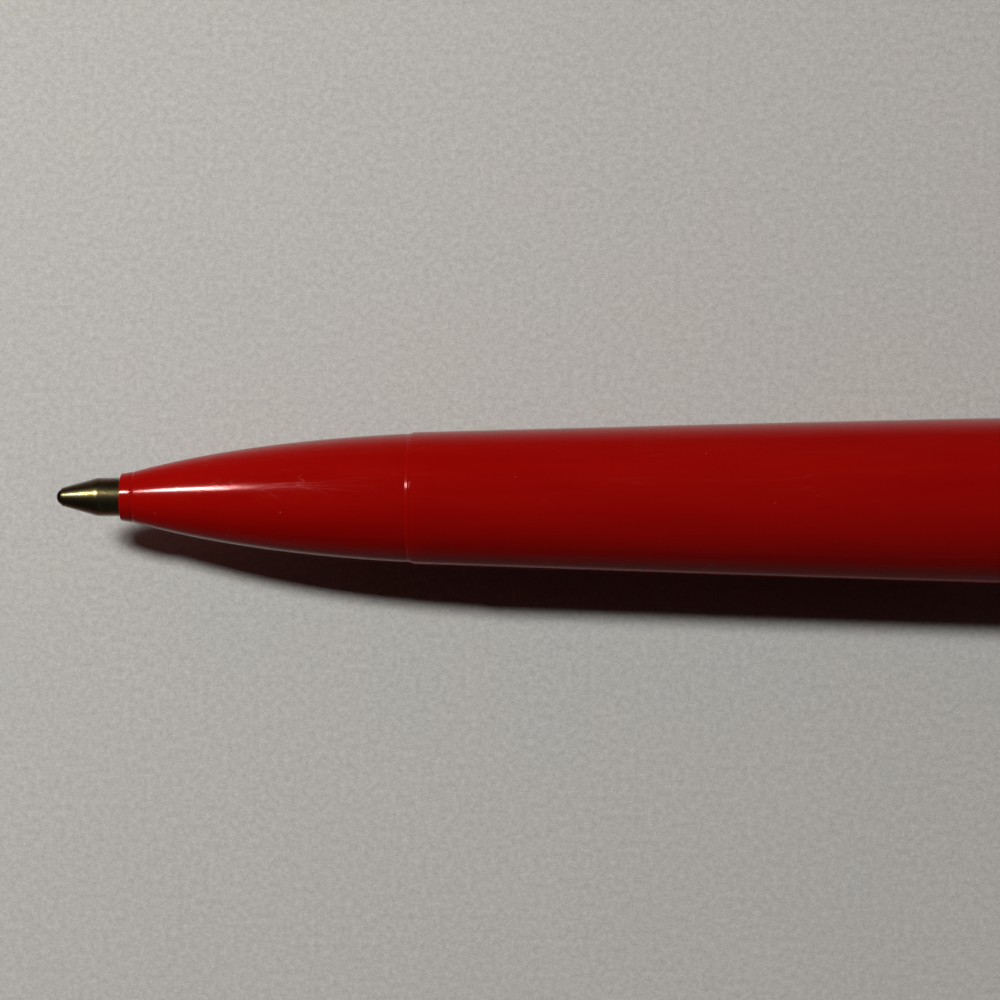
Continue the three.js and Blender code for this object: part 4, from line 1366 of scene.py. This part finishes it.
patches = {
    "hull": (shrunk(hull, 0.1), (0.1, 0.14, 0.35)),
    "main_sail": (shrunk(main_sail, 0.12), (0.92, 0.9, 0.82)),
    "jib": (shrunk(jib, 0.12), (0.72, 0.12, 0.07)),
    "mast": (oblong(-0.12, deck, 0.12, peak + 0.1), (0.22, 0.1, 0.04)),
}
for name, (outline, colour) in patches.items():
    boat_ink = ink("boat_" + name, colour)
    on_boat(name + "_front", outline, 1, boat_ink)
    on_boat(name + "_back", outline, 1, boat_ink, -face_height - layer)
for index, share in enumerate((0.28, 0.5)):
    height = foot + sail_height * share
    width = hull_half * 0.66 * (1 - share) + 0.12
    stripe = oblong(mast + 0.08, height, mast + width, height + 0.22)
    on_boat(f"stripe_{index + 1}", stripe, 2, ink("boat_jib"))
line_of_paint = oblong(-hull_half * 0.86, deck - 0.42, hull_half * 0.9, deck - 0.24)
on_boat("line", line_of_paint, 2, ink("boat_main_sail"))

# Top cap. The same red ABS, with a domed end and a spigot that is glued into the clear tube. A slot in its
# side takes the clip.
cap_front = float_rear + 0.1
spigot_front, cap_end = ends("top_cap")
cap_length = cap_end - cap_front
cap_radius = ring_radius
cap_core = 2.2
cap_disc = 3.1
core_end = cap_front + cap_length * 0.7


def cubic_points(start, leave, arrive, end, steps):
    """Points on a cubic curve, with its two ends."""
    points = []
    for step in range(steps + 1):
        share = step / steps
        point = Vector(start) * (1 - share) ** 3
        point += Vector(leave) * 3 * share * (1 - share) ** 2
        point += Vector(arrive) * 3 * share ** 2 * (1 - share)
        point += Vector(end) * share ** 3
        points.append(tuple(point))
    return points


dome = cubic_points(
    (cap_end - cap_length * 0.45, cap_radius),
    (cap_end - cap_length * 0.2, cap_radius - 0.1),
    (cap_end, cap_radius * 0.85),
    (cap_end, cap_disc),
    32,
)
cap_outline = rounded([
    (core_end, 0),
    (core_end, cap_core, 0.3),
    (spigot_front, cap_core, 0.1),
    (spigot_front, plug_radius, 0.3),
    (cap_front, plug_radius),
    (cap_front, cap_radius, 0.35),
    (cap_front + 2, cap_radius),
    (cap_front + 4, cap_radius),
    *dome,
    (cap_end, 0),
])
clip_low, clip_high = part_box("pocket_clip")
clip_thickness = 0.7
clip_width = 4.0
clip_rise = 2.1
clip_radius = corner_radius(beside("top_cap"), 40)
arm_radius = clip_radius + clip_rise
# The pen lies on the clip's lower edge, which gives the angle at which the clip stands out.
clip_outside = arm_radius + clip_thickness / 2
clip_reach = math.hypot(clip_outside, clip_width / 2)
clip_drop = math.asin((axis_z / mm) / clip_reach) - math.atan2(clip_width / 2, clip_outside)
clip_angle = math.pi + clip_drop
tongue_station = (clip_high.x - tip_x) / mm - clip_thickness / 2
tongue_depth = 2.1
slot_gap = 0.3
slot_length = clip_thickness / 2 + slot_gap
cap_slot = box_tool(
    "clip_slot",
    (tongue_station - slot_length, clip_radius - tongue_depth - slot_gap, -clip_width / 2 - slot_gap),
    (tongue_station + slot_length, clip_radius + 1, clip_width / 2 + slot_gap),
    clip_angle,
)
cap = combined(turned("cap_moulding", cap_outline, 192), cap_slot)
dress(cap, red_plastic, "barrel_plastic", "upper_half", "top_cap")

# Pocket clip. Blanked and bent from 0.7 mm spring steel and chromium plated: a tongue held in the cap, a long
# arm with a pressed crown, and a turned-up end that slides over a pocket's edge.
clip_length = (clip_high.x - clip_low.x) / mm - clip_thickness / 2
clip_end_width = 3.2
clip_bend = 1.2
clip_grip = 3.0
clip_lead = 0.9
free_end = tongue_station - clip_length
grip_station = free_end + clip_grip
grip_radius = float_radius + 0.3 + clip_thickness / 2
bend_start = (tongue_station, arm_radius - clip_bend)
arm_start = (tongue_station - clip_bend, arm_radius)
grip = (grip_station, grip_radius)
slope = (arm_radius - grip_radius) / (arm_start[0] - grip_station)
lead_reach = clip_grip * 0.6
lead_end = (free_end, grip_radius + clip_lead)
tongue_end = clip_radius - tongue_depth
clip_line = [(tongue_station, tongue_end + (bend_start[1] - tongue_end) * step / 8) for step in range(8)]
clip_line += [bend_start] + curve_points(bend_start, (tongue_station, arm_radius), arm_start, 16)
clip_line += cubic_points(
    arm_start,
    (arm_start[0] - clip_length * 0.3, arm_radius),
    (grip_station + lead_reach, grip_radius + slope * lead_reach * 0.4),
    grip,
    60,
)
clip_line += curve_points(grip, (grip_station - lead_reach, grip_radius), lead_end, 28) + [lead_end]


def clip_half_width(station):
    """Half of the clip's width: parallel at the root, tapering to a round end."""
    taper_start = tongue_station - clip_length * 0.2
    end_radius = clip_end_width / 2
    round_start = free_end + end_radius
    if station >= taper_start:
        return clip_width / 2
    if station >= round_start:
        share = (taper_start - station) / (taper_start - round_start)
        return clip_width / 2 + (end_radius - clip_width / 2) * share
    inside = max(end_radius ** 2 - (round_start - station) ** 2, 0.0)
    return max(math.sqrt(inside), 0.25)


def clip_section(half_width, crown):
    """The clip's section, as (across, outward) points: rounded edges and a crowned outer face."""
    edge = min(0.16, half_width * 0.6)
    side = half_width - edge
    top = clip_thickness / 2 - crown - edge
    bottom = edge - clip_thickness / 2
    section = []
    for share in np.linspace(-1, 1, 15):
        section.append((share * side, clip_thickness / 2 - crown * share ** 2))
    corners = []
    for quarter, (across, rise) in enumerate(((side, top), (side, bottom), (-side, bottom), (-side, top))):
        for turn in np.linspace(quarter * math.pi / 2, (quarter + 1) * math.pi / 2, 5):
            corners.append((across + edge * math.sin(turn), rise + edge * math.cos(turn)))
    return section + corners[1:-1]


def swept_clip():
    """The clip, from its section carried along its line."""
    points = [Vector(point) for point in clip_line]
    line = points[:1] + [here for before, here in zip(points, points[1:]) if (here - before).length > 1e-4]
    turn = Matrix.Rotation(clip_angle, 4, "X")
    origin = Vector((tip_x, axis_y, axis_z))
    rings = []
    for index, point in enumerate(line):
        tangent = (line[min(index + 1, len(line) - 1)] - line[max(index - 1, 0)]).normalized()
        normal = Vector((tangent.y, -tangent.x))
        crown = 0.1 * ease((arm_start[0] - point.x) / 4) * ease((point.x - free_end) / 2)
        section = clip_section(clip_half_width(point.x), crown)
        flat = [Vector((*(point + normal * rise), across)) for across, rise in section]
        rings.append([turn @ (corner * mm) + origin for corner in flat])
    return lofted("spring_clip", rings)


dress(swept_clip(), bright_chrome("clip_chrome", 3.0), "clip_chrome", "clip", "pocket_clip")

# Table. A plain pale sheet of paper, larger than any view of it. It shows its fibres and its tooth, and it is
# a little warmer in some places than in others.
warm_paper = (0.443, 0.427, 0.397)
cool_paper = (0.413, 0.427, 0.408)
table_half = 1.5


def pale_paper():
    """Plain paper with fibres, a tooth and soft clouds of colour, and painted shade for mirrored rays."""
    material, shader, place = new_finish("pale_paper", {"Roughness": 0.9, "IOR": 1.3})
    parts = put(place, "ShaderNodeSeparateXYZ", {"Vector": place}).outputs
    fibres = rescaled(noise(place, 2600.0, 7.0, 0.75), 0.78, 1.22, 0.25, 0.75)
    tooth = rescaled(noise(place, 11000.0), 0.86, 1.14, 0.25, 0.75)
    hue = mixed(noise(place, 110.0, 3.0), (*warm_paper, 1), (*cool_paper, 1))
    tone = mixed(1.0, hue, times(fibres, tooth), blend_type="MULTIPLY")
    # Painted reflection shade: the paper's colour is painted darker for mirrored rays at a low angle.
    low_look = put(place, "ShaderNodeLayerWeight").outputs["Facing"]
    painted_low_angle_shade = rescaled(low_look, 0.0, 0.9, 0.28, 0.75)
    # It is also painted darker beyond the shadow side of the pen, where the pen's front half mirrors it.
    painted_near_side_shade = rescaled(parts["Y"], 0.8, 0.0, axis_y - 9.5 * mm, axis_y - 6 * mm)
    front_half = rescaled(parts["X"], 1.0, 0.0, -5 * mm, 15 * mm)
    darker = times(maths("MAXIMUM", painted_low_angle_shade, painted_near_side_shade), front_half)
    mirrored_look = put(place, "ShaderNodeLightPath").outputs["Is Glossy Ray"]
    painted_reflection_shade = times(darker, mirrored_look)
    # Painted reflection: for mirrored rays that painted shade mixes the paper's colour towards dark red.
    fill(shader, {"Base Color": mixed(painted_reflection_shade, tone, (0.08, 0, 0, 1))})
    return material


table_mesh = bpy.data.meshes.new("table_paper")
table_corners = oblong(-table_half, -table_half, table_half, table_half)
table_mesh.from_pydata([(*corner, 0) for corner in table_corners], [], [(0, 1, 2, 3)])
table = link("table_paper", table_mesh)
table.data.materials.append(pale_paper())

# Studio. Two small soft lamps in one line, high on the left, make the short streak on the nose cone and the
# dark shadow below the pen. A third lights only the rear half. The room is dim, with a paler side behind the
# pen.
scene = bpy.context.scene
view_centre = Vector((tip_x + 26.87 * mm, axis_y, axis_z))


def soft_lamp(name, target, direction, distance, wide, high, watts, spread=180):
    """A rectangular lamp that shines on a target from a direction. Its sizes are in metres at one metre away,
    and its spread is in degrees."""
    data = bpy.data.lights.new(name, "AREA")
    data.shape = "RECTANGLE"
    data.size = wide * distance
    data.size_y = high * distance
    data.energy = watts * distance ** 2
    data.spread = math.radians(spread)
    toward = Vector(direction).normalized()
    side = Vector((0, 1, 0)).cross(toward).normalized()
    turn = Matrix((side, toward.cross(side), toward)).transposed().to_4x4()
    link(name, data).matrix_world = Matrix.Translation(target + toward * distance) @ turn


front_lamp = {"direction": (-0.7, 0.485, 1.0), "wide": 0.167, "high": 0.097}
soft_lamp("far_lamp", view_centre, distance=0.9, watts=6.4, **front_lamp)
soft_lamp("near_lamp", view_centre, distance=0.2, watts=5.3, **front_lamp)
rear_centre = Vector((tip_x + 128 * mm, axis_y, axis_z))
rear_lamp = {"direction": (0.3, -0.5, 1.0), "wide": 0.17, "high": 0.3}
soft_lamp("rear_lamp", rear_centre, distance=0.4, watts=0.017, spread=12, **rear_lamp)

world = bpy.data.worlds.new("studio")
scene.world = world
world.use_nodes = True
room = world.node_tree
room.nodes.clear()
rays = put(room, "ShaderNodeLightPath").outputs
look = put(room, "ShaderNodeTexCoord").outputs["Generated"]
parts = put(room, "ShaderNodeSeparateXYZ", {"Vector": look}).outputs


def room_shade(axis, steps, tint=(1.0, 1.0, 1.0)):
    """A background whose brightness follows one part of the direction, from -1 to 1."""
    across = rescaled(parts[axis], 0.0, 1.0, -1.0, 1.0)
    stops = [((part + 1) / 2, [value * share for share in tint]) for part, value in steps]
    return put(room, "ShaderNodeBackground", {"Color": ramp(across, *stops), "Strength": 1.0})


def choose(kind, background, otherwise):
    """One background for rays of a kind, another for the rest."""
    return put(room, "ShaderNodeMixShader", {"Fac": rays[kind], 1: otherwise, 2: background})


# Each step is a part of the direction and the brightness there.
lit = room_shade("Y", ((0.0, 0.01), (0.25, 0.05), (0.6, 0.23), (1.0, 0.33)), (1.0, 0.45, 0.4))
mirrored = room_shade("X", ((-0.14, 0.025), (-0.04, 0.08), (0.25, 0.1), (0.45, 0.35), (1.0, 0.5)))
seen = room_shade("Z", ((0.0, 0.75), (0.35, 0.45), (0.85, 0.1)))
seen_or_lit = choose("Is Camera Ray", seen, choose("Is Transmission Ray", seen, lit))
put(room, "ShaderNodeOutputWorld", {"Surface": choose("Is Glossy Ray", mirrored, seen_or_lit)})

# Camera. It looks down on the first 57 mm of the pen, three degrees off the vertical. At the height of the
# pen's axis the picture is 60.3 mm wide, which is 16.6 pixels to the millimetre.
picture_width = 60.3 * mm
picture_centre = view_centre + Vector((0.03 * mm, -0.073 * mm, 0))
camera_offset = 0.016
camera_height = 0.3
camera_distance = math.hypot(camera_offset, camera_height)
camera_roll = math.radians(0.258)
camera_tilt = math.atan2(camera_offset, camera_height)
lens_data = bpy.data.cameras.new("overhead")
lens_data.sensor_width = 36.0
lens_data.lens = lens_data.sensor_width * camera_distance / picture_width
lens_data.clip_start = 0.01
lens_data.clip_end = 20.0
camera = link("overhead", lens_data)
camera_turn = Matrix.Rotation(camera_roll, 4, "Z") @ Matrix.Rotation(camera_tilt, 4, "Y")
camera_place = picture_centre + camera_turn @ Vector((0, 0, camera_distance))
camera.matrix_world = Matrix.Translation(camera_place) @ camera_turn
scene.camera = camera
scene.view_settings.view_transform = "Standard"
